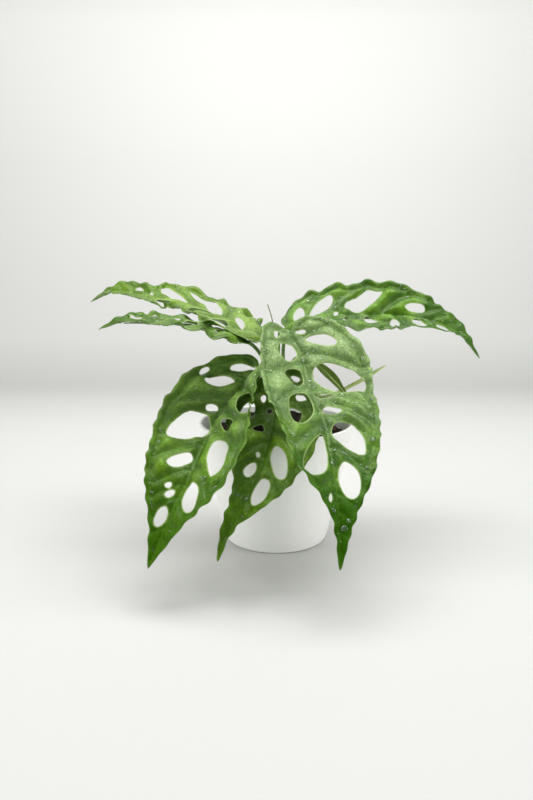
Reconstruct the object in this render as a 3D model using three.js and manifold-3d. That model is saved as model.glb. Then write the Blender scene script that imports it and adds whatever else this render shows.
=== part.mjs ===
// A potted Monstera obliqua of the Peru form: a tapered white planter filled with dark
// potting mix, a short stem, six holed and waved leaves on thin stalks, one narrow young
// leaf and one leaf still rolled into a spear. Millimetres, +Z up. The origin is the
// centre of the pot's base on the surface that it stands on. +X is to the right and -Y
// towards the viewer, on the side where the three hanging leaves are.

import * as THREE from 'three';
import { mergeVertices } from 'three/addons/utils/BufferGeometryUtils.js';
import Module from 'manifold-3d';

const wasm = await Module();
wasm.setup();

// Driving dimensions, in millimetres and degrees

// Clearance kept between pieces that touch.
const GAP = 0.3;

const POT = { height: 93, rimRadius: 60, baseRadius: 40, wall: 2.6, floor: 4, footEdge: 2, sectors: 48 };
const DRAIN = { count: 4, radius: 4, ring: 24 };

// The soil ends below the rim at the wall and is heaped up in the middle.
const SOIL = { edgeHeight: 81, mound: 17, lump: 1.3, rings: 7, sectors: 28 };
const CHIPS = { count: 24, length: 8, width: 5, thickness: 3, innermost: 18, outermost: 50, seed: 11 };

const STEM = { x: 1, y: 6, foot: 60, top: 128, radius: 3.6, scarDepth: 0.4, scarSpacing: 8, sides: 10 };

const STALK = { footRadius: 1.7, radius: 1.4, kneeRadius: 1.6, seat: 6, step: 8, sides: 6 };
// The rib under a leaf thins out and ends before the tip.
const RIB = { baseRadius: 1.4, tipRadius: 0.45, reach: 0.84, steps: 11 };

const BLADE = { thickness: 0.75, innerStep: 11, innerMargin: 4, holeStep: 5 };

// A half blade is given by its widths at these shares of the midrib's length.
const STATIONS = [0.06, 0.2, 0.36, 0.52, 0.68, 0.84];
// The lobe behind the stalk: shares of the first width and of the lobe's reach.
const LOBE = [[0.28, 1], [0.62, 0.7]];
const TIP_HALF_WIDTH = 0.8;

// Every full leaf.
//   midrib    points that the midrib runs through, from the stalk to the tip
//   heading   direction that the leaf points in, seen from above, from +X towards +Y
//   roll      turn of the blade about its midrib at the base, middle and tip
//   fold      rise of the right and the left half from the midrib, at base, middle and tip
//   arch      how strongly each half curves down again, in radians per metre
//   lobe      reach of the right and the left lobe behind the stalk
//   right     half widths at the stations, right of the midrib seen from above
//   left      the same on the left
//   wave      length, height and start of the waves along the margin, and the distance
//             between the points that the margin is drawn with
//   holes     [along, out, length, width, turn, point]: the place of the middle along the
//             midrib and out from it (minus is left), the turn of the long axis from the
//             midrib towards the margin, and how pointed the outer end is (minus: inner)
//   stalk     side and height at which it leaves the stem, then the points on its way
const LEAVES = {
  leaf_front: {
    heading: -78,
    midrib: [[10, -5, 161], [19, -20, 147], [23, -36, 131], [31, -68, 113], [36, -99, 93],
      [38, -123, 72], [38, -145, 38]],
    roll: [5, 6, 3],
    fold: { right: [30, 19, 10], left: [28, 16, 8] },
    arch: { right: 8.4, left: 3.7 },
    lobe: { right: 8, left: 8 },
    right: [35, 39, 40, 34, 26, 6],
    left: [36, 47, 41, 36, 26, 11],
    wave: { length: 27, height: 1.1, start: 0, step: 6.5 },
    holes: [
      [2, 14, 10, 5, 50, 0], [21, 13.5, 22, 17, 40, 0], [46, 12, 19, 15, 40, 0],
      [81, 16, 35, 18, 20, 0.2], [120, 10, 36, 15, 20, -0.4], [151, 4.5, 5, 2.5, 0, 0],
      [2, -8, 8, 3.5, 60, 0], [16, -17.5, 23, 9.5, 60, 0], [51, -22, 42, 25, 46, -0.1],
      [64, -8.5, 13, 4.5, 75, 0], [79, -8, 14, 6, 75, 0], [106, -14.5, 31, 17, 22, 0.4],
      [138, -8.5, 26, 13.5, 4, 0],
    ],
    stalk: {
      side: 310,
      height: 112,
      way: [[6.4, 3, 125], [5.4, 4, 138], [5.4, 4.4, 150], [7, 2.6, 159.5], [8.8, -1.6, 162.2]],
    },
  },
  leaf_front_left: {
    heading: -120,
    midrib: [[-12, -13, 135], [-28, -25, 121], [-45, -47, 101], [-56, -87, 80], [-67, -107, 59],
      [-79, -125, 29]],
    roll: [-15, 9, 8],
    fold: { right: [27, 24, 8], left: [34, 20, 4] },
    arch: { right: 1, left: 1 },
    lobe: { right: 6, left: 5 },
    right: [34, 43, 39, 34, 28, 12],
    left: [32, 39, 37, 35, 29, 13],
    wave: { length: 25, height: 1.3, start: 0, step: 6.5 },
    holes: [
      [6, 12.5, 21, 5, 56, 0], [22, 35, 6, 3, 20, 0], [24, 18, 21, 12, 62, 0],
      [45, 8.5, 10, 7, 70, 0], [69, 15.5, 36, 23, 26, 0.4], [100, 9.5, 20, 9.5, 42, 0],
      [121, 9.5, 5, 3.5, 45, 0], [126, 6, 7, 5, 40, 0], [142, 5, 14, 7.5, 2, 0],
      [42, -25, 32, 14, 35, -0.3], [63, -15, 17, 9, 32, 0], [95, -16, 31, 14, 12, 0.1],
      [125, -8.5, 21, 12, 20, 0],
    ],
    stalk: { side: 215, height: 101, way: [[-6.5, -1.5, 122], [-8.2, -5.4, 132.5], [-9.8, -9.8, 136.2]] },
  },
  leaf_middle: {
    heading: -112,
    midrib: [[4, -4, 139], [-1, -35, 110], [-8, -70, 88], [-20, -92, 64], [-31, -103, 46],
      [-37, -112, 28]],
    roll: [4, 0, 2],
    fold: { right: [8, 12, 8], left: [4, 11, 7] },
    arch: { right: 9, left: 15 },
    lobe: { right: 4, left: 1 },
    right: [10, 32, 33, 26, 13, 6],
    left: [24, 29, 35, 33, 23, 7],
    wave: { length: 24, height: 1, start: 0, step: 6.5 },
    holes: [
      [34, 9.5, 6.5, 4, 0, 0], [43, 4, 6, 4, 0, 0], [46, 22, 19, 11, 35, 0], [63, 9, 10, 8, -40, 0],
      [78, 19, 15, 6, 25, 0], [87, 4, 3.5, 3, 0, 0], [100, 5.5, 12.5, 7.5, 6, 0],
      [14, -12, 9, 5, 50, 0], [32, -18, 8, 5, 80, 0], [52, -15.5, 20, 10.5, 6, 0.3],
      [92, -13, 24, 11, 32, 0], [114, -8, 19, 11, -4, 0],
    ],
    stalk: { side: 265, height: 102, way: [[-0.8, 0.2, 120], [-0.6, 1, 131], [1.4, 0, 138.2]] },
  },
  leaf_right: {
    heading: 5,
    midrib: [[7, 36, 162], [27, 33, 171], [60, 32, 173], [96, 27, 173], [118, 17, 171],
      [140, 11, 162], [154, 1, 143]],
    roll: [0, -21, -25],
    fold: { right: [1, 13, -3], left: [15, 30, 12] },
    arch: { right: 9, left: 1 },
    lobe: { right: 5, left: 3 },
    right: [24, 33, 35, 31, 22, 11],
    left: [34, 40, 37, 32, 20, 10],
    wave: { length: 22, height: 2.2, start: 0, step: 5.5 },
    holes: [
      [38, 18, 11, 5.5, 60, 0.2], [53, 12, 10, 5.5, 40, 0], [72, 14, 16, 9, 35, 0],
      [92, 18, 13, 7, 30, 0], [112, 11, 11, 8, 26, 0], [130, 7, 13, 5.5, 6, 0],
      [13, -9.5, 19, 8, 75, 0.2], [31, -13.5, 30, 11.5, 52, 0], [65, -16, 31, 18, 30, 0.4],
      [43, -4.5, 5, 3.5, 60, 0], [103, -8.5, 14, 7.5, 4, 0],
    ],
    stalk: {
      side: 80,
      height: 104,
      way: [[1.6, 14.5, 125], [1.6, 22, 142], [2.2, 31, 154], [4, 34.8, 159.4]],
    },
  },
  leaf_back_left: {
    heading: 152,
    midrib: [[-11, 12, 156], [-25, 13, 163], [-45, 25, 172], [-76, 47, 180], [-104, 52, 187],
      [-137, 69, 190], [-160, 78, 180]],
    roll: [-7, 4, 22],
    fold: { right: [9, 16, 18], left: [12, 14, 8] },
    arch: { right: 7.6, left: 10.8 },
    lobe: { right: 5, left: 5 },
    right: [33, 41, 32, 33, 16, 13],
    left: [32, 35, 27, 29, 17, 12],
    wave: { length: 20, height: 2.8, start: 0, step: 5 },
    holes: [
      [25, 7, 17, 6, 31, 0], [32, 27, 13, 6, 50, 0], [64, 14, 46, 11, 27, 0.2],
      [93, 10, 28, 10, 24, 0], [111, 4, 5, 3.5, 35, 0], [126, 7, 9, 5, 15, 0],
      [26, -24, 17, 7, 55, 0], [48, -14, 20, 9, 40, 0], [91, -16, 17, 10, 15, 0],
      [118, -7, 11, 5, 10, 0],
    ],
    stalk: { side: 130, height: 108, way: [[-4.6, 10, 130], [-5.6, 10.8, 145], [-8, 11.8, 153.4]] },
  },
  leaf_left: {
    heading: 194,
    midrib: [[-27, -1, 158], [-38, -4, 163], [-53, -10, 169], [-70, -17, 173], [-91, -26, 174],
      [-108, -32, 174], [-124, -38, 168]],
    roll: [-3, 3, 3],
    fold: { right: [0, 6, 20], left: [-6, 2, 1] },
    arch: { right: 8, left: 7 },
    lobe: { right: 6, left: 5 },
    right: [16, 17, 20, 24, 17, 8],
    left: [28, 33, 31, 27, 18, 8],
    wave: { length: 19, height: 3.2, start: 0, step: 4.75 },
    holes: [
      [12, 7, 10, 4, 40, 0], [28, 8, 12, 5, 35, 0], [55, 11, 28, 11, 16, 0], [80, 6, 9, 4, 15, 0],
      [22, -15, 15, 7, 50, 0], [45, -13, 17, 8, 35, 0], [68, -8, 11, 5, 20, 0],
    ],
    stalk: { side: 178, height: 114, way: [[-7, 5, 132], [-12, 3, 144], [-19.5, 0.6, 152.6]] },
  },
};

// The narrow young leaf is still folded along its midrib, and rolled to face the viewer.
const YOUNG = {
  side: 35,
  height: 115,
  radius: 1.15,
  way: [[8.5, 9, 128], [13, 8, 139], [20, 6, 143.5]],
  midrib: [[24, 4.5, 142.5], [33, 3, 135], [45, 1.5, 123.5], [57, 0, 110]],
  halfWidths: [0.8, 3, 4.7, 4.4, 2.4, 0.7],
  fold: 28,
  roll: 48,
  thickness: 0.8,
  steps: 10,
};

// The newest leaf: a thin stalk that swells into the rolled blade and ends in a point.
const SPEAR = {
  side: -5,
  height: 103,
  way: [[9, 6.5, 112], [20, 8, 112.5], [38, 10, 110], [62, 13, 120], [86, 16, 134]],
  radii: [1.5, 1.4, 1.2, 1.2, 1.4, 1.75, 1.6, 0.35],
  steps: 24,
};

// A dry bract that has kept only its thin curled tip.
const SHEATH = {
  side: 105,
  height: 121,
  way: [[-1.2, 8, 140], [-2, 6.6, 158], [-3.4, 6.6, 171], [-6.8, 7.4, 182]],
  radii: [0.8, 0.75, 0.6, 0.45, 0.35],
  steps: 12,
};

const COLOURS = {
  pot: [0xe9e9e7, 0.35],
  soil: [0x221a14, 0.95],
  stem: [0x4f6a2a, 0.6],
  leaf: [0x4a7d35, 0.4],
  young: [0x5b6f2c, 0.5],
  spear: [0x8fae62, 0.45],
  sheath: [0x8a7a4c, 0.8],
};

const UP = new THREE.Vector3(0, 0, 1);
const radians = THREE.MathUtils.degToRad;
const vector = (p) => new THREE.Vector3(...p);

// Repeatable random numbers from 0 to 1.
function seededRandom(seed) {
  let state = seed;
  return () => {
    state = (state * 1664525 + 1013904223) % 4294967296;
    return state / 4294967296;
  };
}

// The value at share t of a list of values spread evenly from 0 to 1.
function spread(values, t) {
  const at = THREE.MathUtils.clamp(t, 0, 1) * (values.length - 1);
  const i = Math.min(Math.floor(at), values.length - 2);
  return THREE.MathUtils.lerp(values[i], values[i + 1], at - i);
}

// Solids: geometries with shared vertices, joined and cut as closed bodies

function meshGeometry(vertices, triangles) {
  const geometry = new THREE.BufferGeometry();
  const positions = vertices.flatMap((v) => [v.x, v.y, v.z]);
  geometry.setAttribute('position', new THREE.Float32BufferAttribute(positions, 3));
  geometry.setIndex(triangles.flat());
  return geometry;
}

function solidOf(geometry) {
  let plain = geometry.clone();
  plain.deleteAttribute('normal');
  plain.deleteAttribute('uv');
  plain = mergeVertices(plain, 1e-4);
  const index = plain.getIndex().array;
  const kept = [];
  for (let i = 0; i < index.length; i += 3) {
    const [a, b, c] = [index[i], index[i + 1], index[i + 2]];
    if (a !== b && b !== c && c !== a) kept.push(a, b, c);
  }
  const mesh = new wasm.Mesh({
    numProp: 3,
    vertProperties: new Float32Array(plain.getAttribute('position').array),
    triVerts: new Uint32Array(kept),
  });
  return new wasm.Manifold(mesh);
}

function geometryOf(solid) {
  const { vertProperties, triVerts } = solid.getMesh();
  const geometry = new THREE.BufferGeometry();
  geometry.setAttribute('position', new THREE.BufferAttribute(new Float32Array(vertProperties), 3));
  geometry.setIndex(Array.from(triVerts));
  return geometry;
}

function namedMesh(name, geometry, [colour, roughness]) {
  const material = new THREE.MeshStandardMaterial({ color: colour, roughness, metalness: 0 });
  const shaded = geometry.index ? geometry.toNonIndexed() : geometry;
  shaded.computeVertexNormals();
  const mesh = new THREE.Mesh(shaded, material);
  mesh.name = name;
  return mesh;
}

// A closed round tube along a smooth curve, with a radius that changes on the way.
function taperedTube(curve, radiusAt, steps, sides) {
  const frames = curve.computeFrenetFrames(steps, false);
  const vertices = [];
  for (let i = 0; i <= steps; i++) {
    const centre = curve.getPointAt(i / steps);
    const radius = radiusAt(i / steps);
    for (let k = 0; k < sides; k++) {
      const angle = (2 * Math.PI * k) / sides;
      vertices.push(centre.clone()
        .addScaledVector(frames.normals[i], radius * Math.cos(angle))
        .addScaledVector(frames.binormals[i], radius * Math.sin(angle)));
    }
  }
  const triangles = [];
  for (let i = 0; i < steps; i++) {
    for (let k = 0; k < sides; k++) {
      const next = (k + 1) % sides;
      const [a, b, c, d] = [i * sides + k, i * sides + next, (i + 1) * sides + next, (i + 1) * sides + k];
      triangles.push([a, b, c], [a, c, d]);
    }
  }
  const start = vertices.push(curve.getPointAt(0)) - 1;
  const end = vertices.push(curve.getPointAt(1)) - 1;
  for (let k = 0; k < sides; k++) {
    const next = (k + 1) % sides;
    triangles.push([start, next, k], [end, steps * sides + k, steps * sides + next]);
  }
  return meshGeometry(vertices, triangles);
}

const smoothCurve = (points) => new THREE.CatmullRomCurve3(points, false, 'centripetal');

// The pot

const potRadius = (z) => THREE.MathUtils.lerp(POT.baseRadius, POT.rimRadius, z / POT.height);
const potInnerRadius = (z) => potRadius(z) - POT.wall;

function makePot() {
  const lip = POT.wall / 2;
  const edge = POT.footEdge;
  const profile = [[0, 0], [POT.baseRadius - edge, 0]];
  for (const angle of [30, 60, 90]) {
    const turned = radians(angle);
    profile.push([
      POT.baseRadius - edge + edge * Math.sin(turned),
      edge - edge * Math.cos(turned),
    ]);
  }
  const rimZ = POT.height - lip;
  for (const angle of [0, 45, 90, 135, 180]) {
    const turned = radians(angle);
    profile.push([potRadius(rimZ) - lip + lip * Math.cos(turned), rimZ + lip * Math.sin(turned)]);
  }
  profile.push([potInnerRadius(POT.floor), POT.floor], [0, POT.floor]);
  const shell = new THREE.LatheGeometry(profile.map(([r, z]) => new THREE.Vector2(r, z)), POT.sectors);
  shell.rotateX(Math.PI / 2);
  let pot = solidOf(shell);
  for (let i = 0; i < DRAIN.count; i++) {
    const angle = (2 * Math.PI * (i + 0.5)) / DRAIN.count;
    const drain = new THREE.CylinderGeometry(DRAIN.radius, DRAIN.radius, 4 * POT.floor, 16);
    drain.rotateX(Math.PI / 2);
    drain.translate(DRAIN.ring * Math.cos(angle), DRAIN.ring * Math.sin(angle), POT.floor / 2);
    pot = pot.subtract(solidOf(drain));
  }
  return geometryOf(pot);
}

// The soil: a heaped body with bark chips bedded in its top and a plain hole for the stem

function soilHeight(x, y) {
  const share = Math.hypot(x, y) / potInnerRadius(SOIL.edgeHeight);
  const heap = SOIL.mound * (1 - share * share);
  const lumps = Math.sin(0.31 * x + 0.9 * Math.sin(0.17 * y))
    * Math.cos(0.27 * y + 0.6 * Math.sin(0.23 * x));
  const crumbs = 0.6 * Math.sin(0.73 * x - 0.41 * y) * Math.sin(0.55 * y + 0.38 * x);
  return SOIL.edgeHeight + heap + SOIL.lump * (lumps + crumbs) * Math.min(1, 4 * (1 - share));
}

function makeSoil() {
  // The pot's wall is a polygon, so its flats come nearer to the soil than its corners.
  const flats = Math.cos(Math.PI / POT.sectors);
  const topRadius = potInnerRadius(SOIL.edgeHeight) * flats - GAP;
  const footZ = POT.floor + GAP;
  const footRadius = potInnerRadius(footZ) * flats - GAP;
  const vertices = [new THREE.Vector3(0, 0, soilHeight(0, 0))];
  const triangles = [];
  const rings = [];
  const addRing = (radius, height) => {
    const ring = [];
    for (let k = 0; k < SOIL.sectors; k++) {
      const angle = (2 * Math.PI * k) / SOIL.sectors;
      const [x, y] = [radius * Math.cos(angle), radius * Math.sin(angle)];
      ring.push(vertices.push(new THREE.Vector3(x, y, height(x, y))) - 1);
    }
    rings.push(ring);
  };
  for (let i = 1; i <= SOIL.rings; i++) addRing((topRadius * i) / SOIL.rings, soilHeight);
  addRing(footRadius, () => footZ);
  const bottom = vertices.push(new THREE.Vector3(0, 0, footZ)) - 1;
  for (let k = 0; k < SOIL.sectors; k++) {
    const next = (k + 1) % SOIL.sectors;
    triangles.push([0, rings[0][k], rings[0][next]]);
    for (let i = 0; i + 1 < rings.length; i++) {
      triangles.push([rings[i][k], rings[i + 1][k], rings[i + 1][next]]);
      triangles.push([rings[i][k], rings[i + 1][next], rings[i][next]]);
    }
    const last = rings[rings.length - 1];
    triangles.push([bottom, last[next], last[k]]);
  }
  let soil = solidOf(meshGeometry(vertices, triangles));
  for (const chip of barkChips()) soil = soil.add(solidOf(chip));
  const holeRadius = STEM.radius + 2 * GAP;
  const hole = new THREE.CylinderGeometry(holeRadius, holeRadius, 2 * STEM.top, 16);
  hole.rotateX(Math.PI / 2);
  hole.translate(STEM.x, STEM.y, STEM.foot - GAP + STEM.top);
  return geometryOf(soil.subtract(solidOf(hole)));
}

// Chips lie at seeded places, tilted a little and sunk to half their thickness.
function barkChips() {
  const random = seededRandom(CHIPS.seed);
  const chips = [];
  for (let i = 0; i < CHIPS.count; i++) {
    const angle = 2 * Math.PI * random();
    const share = Math.sqrt(random());
    const radius = THREE.MathUtils.lerp(CHIPS.innermost, CHIPS.outermost, share);
    const size = 0.6 + 0.5 * random();
    const chip = new THREE.IcosahedronGeometry(0.5, 0);
    chip.scale(CHIPS.length * size, CHIPS.width * size, CHIPS.thickness * size);
    chip.rotateX(0.5 * (random() - 0.5));
    chip.rotateY(0.5 * (random() - 0.5));
    chip.rotateZ(2 * Math.PI * random());
    const [x, y] = [radius * Math.cos(angle), radius * Math.sin(angle)];
    chip.translate(x, y, soilHeight(x, y));
    chips.push(chip);
  }
  return chips;
}

// The stem, with a shallow groove where each old leaf left its scar

function makeStem() {
  const curve = new THREE.LineCurve3(
    new THREE.Vector3(STEM.x, STEM.y, STEM.foot),
    new THREE.Vector3(STEM.x, STEM.y, STEM.top),
  );
  const length = STEM.top - STEM.foot;
  const steps = Math.round((2 * length) / STEM.scarSpacing);
  const radiusAt = (t) => {
    const scar = Math.round(t * steps) % 2 === 1 ? STEM.scarDepth : 0;
    const rounding = t > 0.98 ? 0.5 : 1;
    return (STEM.radius - scar) * rounding;
  };
  return taperedTube(curve, radiusAt, steps, STEM.sides);
}

// A stalk runs up along the stem for a short way and then follows its own points.
function stalkPoints({ side, height, way }, footRadius) {
  const angle = radians(side);
  const reach = STEM.radius + GAP + footRadius;
  const [x, y] = [STEM.x + reach * Math.cos(angle), STEM.y + reach * Math.sin(angle)];
  return [[x, y, height], [x, y, height + STALK.seat], ...way].map(vector);
}

// A leaf's surface: places along the midrib and out from it, set out in space

function leafSurface(leaf) {
  const curve = new THREE.CatmullRomCurve3(leaf.midrib.map(vector), false, 'catmullrom', 0.5);
  const length = curve.getLength();
  const heading = radians(leaf.heading);
  const side = new THREE.Vector3(Math.cos(heading), Math.sin(heading), 0).cross(UP);
  const widest = Math.max(...leaf.right, ...leaf.left);

  const place = (along, out) => {
    const share = THREE.MathUtils.clamp(along / length, 0, 1);
    const tangent = curve.getTangentAt(share);
    const point = curve.getPointAt(share).addScaledVector(tangent, along - share * length);
    const across = side.clone().addScaledVector(tangent, -tangent.dot(side)).normalize();
    const up = across.clone().cross(tangent);
    const roll = radians(spread(leaf.roll, share));
    const outward = across.clone().multiplyScalar(Math.cos(roll)).addScaledVector(up, Math.sin(roll));
    const normal = up.clone().multiplyScalar(Math.cos(roll)).addScaledVector(across, -Math.sin(roll));
    const half = out > 0 ? 'right' : 'left';
    const rise = radians(spread(leaf.fold[half], share));
    const bend = leaf.arch[half] / 1000;
    const width = Math.abs(out);
    const reach = (Math.sin(rise) - Math.sin(rise - bend * width)) / bend;
    const lift = (Math.cos(rise - bend * width) - Math.cos(rise)) / bend;
    const fade = Math.min(1, 6 * share, 5 * (1 - share));
    const phase = (2 * Math.PI * (along - leaf.wave.start)) / leaf.wave.length + (out > 0 ? 0 : 1.3);
    const wave = leaf.wave.height * fade * (width / widest) ** 2 * Math.sin(phase);
    return point.addScaledVector(outward, Math.sign(out) * reach).addScaledVector(normal, lift + wave);
  };

  const normalAt = (along, out) => {
    const d = 0.4;
    const lengthwise = place(along + d, out).sub(place(along - d, out));
    const sideways = place(along, out + d).sub(place(along, out - d));
    return sideways.cross(lengthwise).normalize();
  };

  return { length, place, normalAt };
}

// The outline of one half: from the stalk round the lobe and along the margin to the tip.
function halfOutline(widths, lobe, length, step) {
  const points = [[0, 0]];
  for (const [width, reach] of LOBE) points.push([-reach * lobe, width * widths[0]]);
  STATIONS.forEach((share, i) => points.push([share * length, widths[i]]));
  points.push([length, TIP_HALF_WIDTH]);
  const places = points.map(([s, w]) => new THREE.Vector3(s, w, 0));
  const curve = new THREE.CatmullRomCurve3(places, false, 'catmullrom', 0.5);
  const count = Math.round(curve.getLength() / step);
  return curve.getSpacedPoints(count).map((p) => new THREE.Vector2(p.x, p.y));
}

function bladeOutline(leaf, length) {
  const { step } = leaf.wave;
  const right = halfOutline(leaf.right, leaf.lobe.right, length, step);
  const left = halfOutline(leaf.left, leaf.lobe.left, length, step)
    .map((p) => new THREE.Vector2(p.x, -p.y));
  const tip = new THREE.Vector2(length + 1.5, 0);
  return [...left, tip, ...right.reverse().slice(0, -1)];
}

// An oval with one end drawn out to a blunt point.
function holeOutline([along, out, long, wide, turn, point]) {
  const count = Math.max(6, Math.round((Math.PI * (long + wide)) / 2 / BLADE.holeStep));
  const sign = Math.sign(out);
  const angle = radians(turn);
  const outline = [];
  for (let i = 0; i < count; i++) {
    const t = (2 * Math.PI * i) / count;
    const u = (long / 2) * Math.cos(t);
    const v = (wide / 2) * Math.sin(t) * (1 - point * Math.cos(t));
    const s = along + u * Math.cos(angle) - v * Math.sin(angle);
    const w = Math.abs(out) + u * Math.sin(angle) + v * Math.cos(angle);
    outline.push(new THREE.Vector2(s, sign * w));
  }
  return outline;
}

function distanceToRing(point, ring) {
  let nearest = Infinity;
  for (let i = 0; i < ring.length; i++) {
    const [a, b] = [ring[i], ring[(i + 1) % ring.length]];
    const edge = b.clone().sub(a);
    const t = THREE.MathUtils.clamp(point.clone().sub(a).dot(edge) / edge.lengthSq(), 0, 1);
    nearest = Math.min(nearest, point.distanceTo(a.clone().addScaledVector(edge, t)));
  }
  return nearest;
}

function insideRing(point, ring) {
  let inside = false;
  for (let i = 0, j = ring.length - 1; i < ring.length; j = i++) {
    const [a, b] = [ring[i], ring[j]];
    const crosses = (a.y > point.y) !== (b.y > point.y);
    if (crosses && point.x < ((b.x - a.x) * (point.y - a.y)) / (b.y - a.y) + a.x) inside = !inside;
  }
  return inside;
}

// Points inside the blade: a row on the midrib and a staggered net on both halves. The row
// zigzags by a hair, so that no three of its points are in line.
function innerPoints(outline, holes, length) {
  const step = BLADE.innerStep;
  const points = [];
  const free = (p, margin) => insideRing(p, outline) && distanceToRing(p, outline) > margin
    && holes.every((hole) => !insideRing(p, hole) && distanceToRing(p, hole) > margin);
  let hair = 0.02;
  for (let s = step / 2; s < length - step / 2; s += step / 2) {
    const p = new THREE.Vector2(s, hair);
    if (free(p, 1)) points.push(p);
    hair = -hair;
  }
  const rowHeight = (step * Math.sqrt(3)) / 2;
  for (let row = 1; row * rowHeight < 60; row++) {
    for (let s = -10 + (row % 2 ? 0 : step / 2); s < length; s += step) {
      for (const sign of [1, -1]) {
        const p = new THREE.Vector2(s, sign * row * rowHeight);
        if (free(p, BLADE.innerMargin)) points.push(p);
      }
    }
  }
  return points;
}

// Positive where c lies to the left of the line from a to b.
const turnOf = (a, b, c) => (b.x - a.x) * (c.y - a.y) - (b.y - a.y) * (c.x - a.x);

// Splits the triangle that a point lies in into three.
function insertPoint(points, triangles, index) {
  const at = triangles.findIndex((triangle) => triangle.every(
    (a, k) => turnOf(points[a], points[triangle[(k + 1) % 3]], points[index]) > 0,
  ));
  if (at < 0) return;
  const [a, b, c] = triangles[at];
  triangles.splice(at, 1, [a, b, index], [b, c, index], [c, a, index]);
}

// Swaps the diagonals of neighbouring triangles until all are as well shaped as they can be.
function evenOut(points, triangles) {
  const inCircle = (a, b, c, d) => {
    const rows = [a, b, c].map((p) => [p.x - d.x, p.y - d.y, (p.x - d.x) ** 2 + (p.y - d.y) ** 2]);
    const [[ax, ay, az], [bx, by, bz], [cx, cy, cz]] = rows;
    return ax * (by * cz - bz * cy) - ay * (bx * cz - bz * cx) + az * (bx * cy - by * cx);
  };
  for (let changed = true; changed;) {
    changed = false;
    const edges = new Map();
    triangles.forEach((triangle, t) => triangle.forEach((a, k) => {
      const b = triangle[(k + 1) % 3];
      const key = Math.min(a, b) * points.length + Math.max(a, b);
      edges.set(key, [...(edges.get(key) ?? []), [t, k]]);
    }));
    const used = new Set();
    for (const sides of edges.values()) {
      if (sides.length < 2 || sides.some(([t]) => used.has(t))) continue;
      const [[t1, k1], [t2, k2]] = sides;
      const [a, b, c] = [0, 1, 2].map((i) => triangles[t1][(k1 + i) % 3]);
      const d = triangles[t2][(k2 + 2) % 3];
      if (inCircle(points[a], points[b], points[c], points[d]) > 1e-6) {
        triangles[t1] = [a, d, c];
        triangles[t2] = [d, b, c];
        used.add(t1).add(t2);
        changed = true;
      }
    }
  }
}

// The blade: the same triangles on both faces, joined by rims at the margin and the holes.
function makeBlade(leaf, surface) {
  const outline = bladeOutline(leaf, surface.length);
  const holes = leaf.holes.map(holeOutline);
  const inner = innerPoints(outline, holes, surface.length);
  if (THREE.ShapeUtils.isClockWise(outline)) outline.reverse();
  for (const hole of holes) if (!THREE.ShapeUtils.isClockWise(hole)) hole.reverse();
  const points = [...outline, ...holes.flat()];
  const triangles = THREE.ShapeUtils.triangulateShape(outline, holes);
  for (const point of inner) insertPoint(points, triangles, points.push(point) - 1);
  evenOut(points, triangles);

  const faces = [-0.5, 0.5].map((share) => points.map((p) => surface.place(p.x, p.y)
    .addScaledVector(surface.normalAt(p.x, p.y), share * BLADE.thickness)));
  const count = points.length;
  const all = [];
  const directed = new Set(triangles.flatMap(([a, b, c]) => [a * count + b, b * count + c, c * count + a]));
  for (const [a, b, c] of triangles) {
    all.push([a, b, c], [a + count, c + count, b + count]);
    for (const [from, to] of [[a, b], [b, c], [c, a]]) {
      if (directed.has(to * count + from)) continue;
      all.push([to, from, from + count], [to, from + count, to + count]);
    }
  }
  return meshGeometry(faces.flat(), all);
}

// A whole leaf: stalk and rib as one tapering tube, fused with the blade.
function makeLeaf(leaf) {
  const surface = leafSurface(leaf);
  const stalk = stalkPoints(leaf.stalk, STALK.footRadius);
  const ribRadius = (share) => THREE.MathUtils.lerp(RIB.baseRadius, RIB.tipRadius, share);
  const rib = [];
  for (let i = 0; i <= RIB.steps; i++) {
    const share = i / RIB.steps;
    const along = share * RIB.reach * surface.length;
    const drop = ribRadius(share);
    rib.push(surface.place(along, 0).addScaledVector(surface.normalAt(along, 0), -drop));
  }
  const stalkCurve = smoothCurve([...stalk, rib[0]]);
  const stalkShare = stalkCurve.getLength() / (stalkCurve.getLength() + RIB.reach * surface.length);
  const radiusAt = (t) => {
    if (t > stalkShare) return ribRadius((t - stalkShare) / (1 - stalkShare));
    const { footRadius, radius, kneeRadius } = STALK;
    return spread([footRadius, footRadius, radius, radius, kneeRadius], t / stalkShare);
  };
  const curve = smoothCurve([...stalk, ...rib]);
  const steps = Math.round(curve.getLength() / STALK.step);
  const tube = taperedTube(curve, radiusAt, steps, STALK.sides);
  return geometryOf(solidOf(makeBlade(leaf, surface)).add(solidOf(tube)));
}

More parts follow.
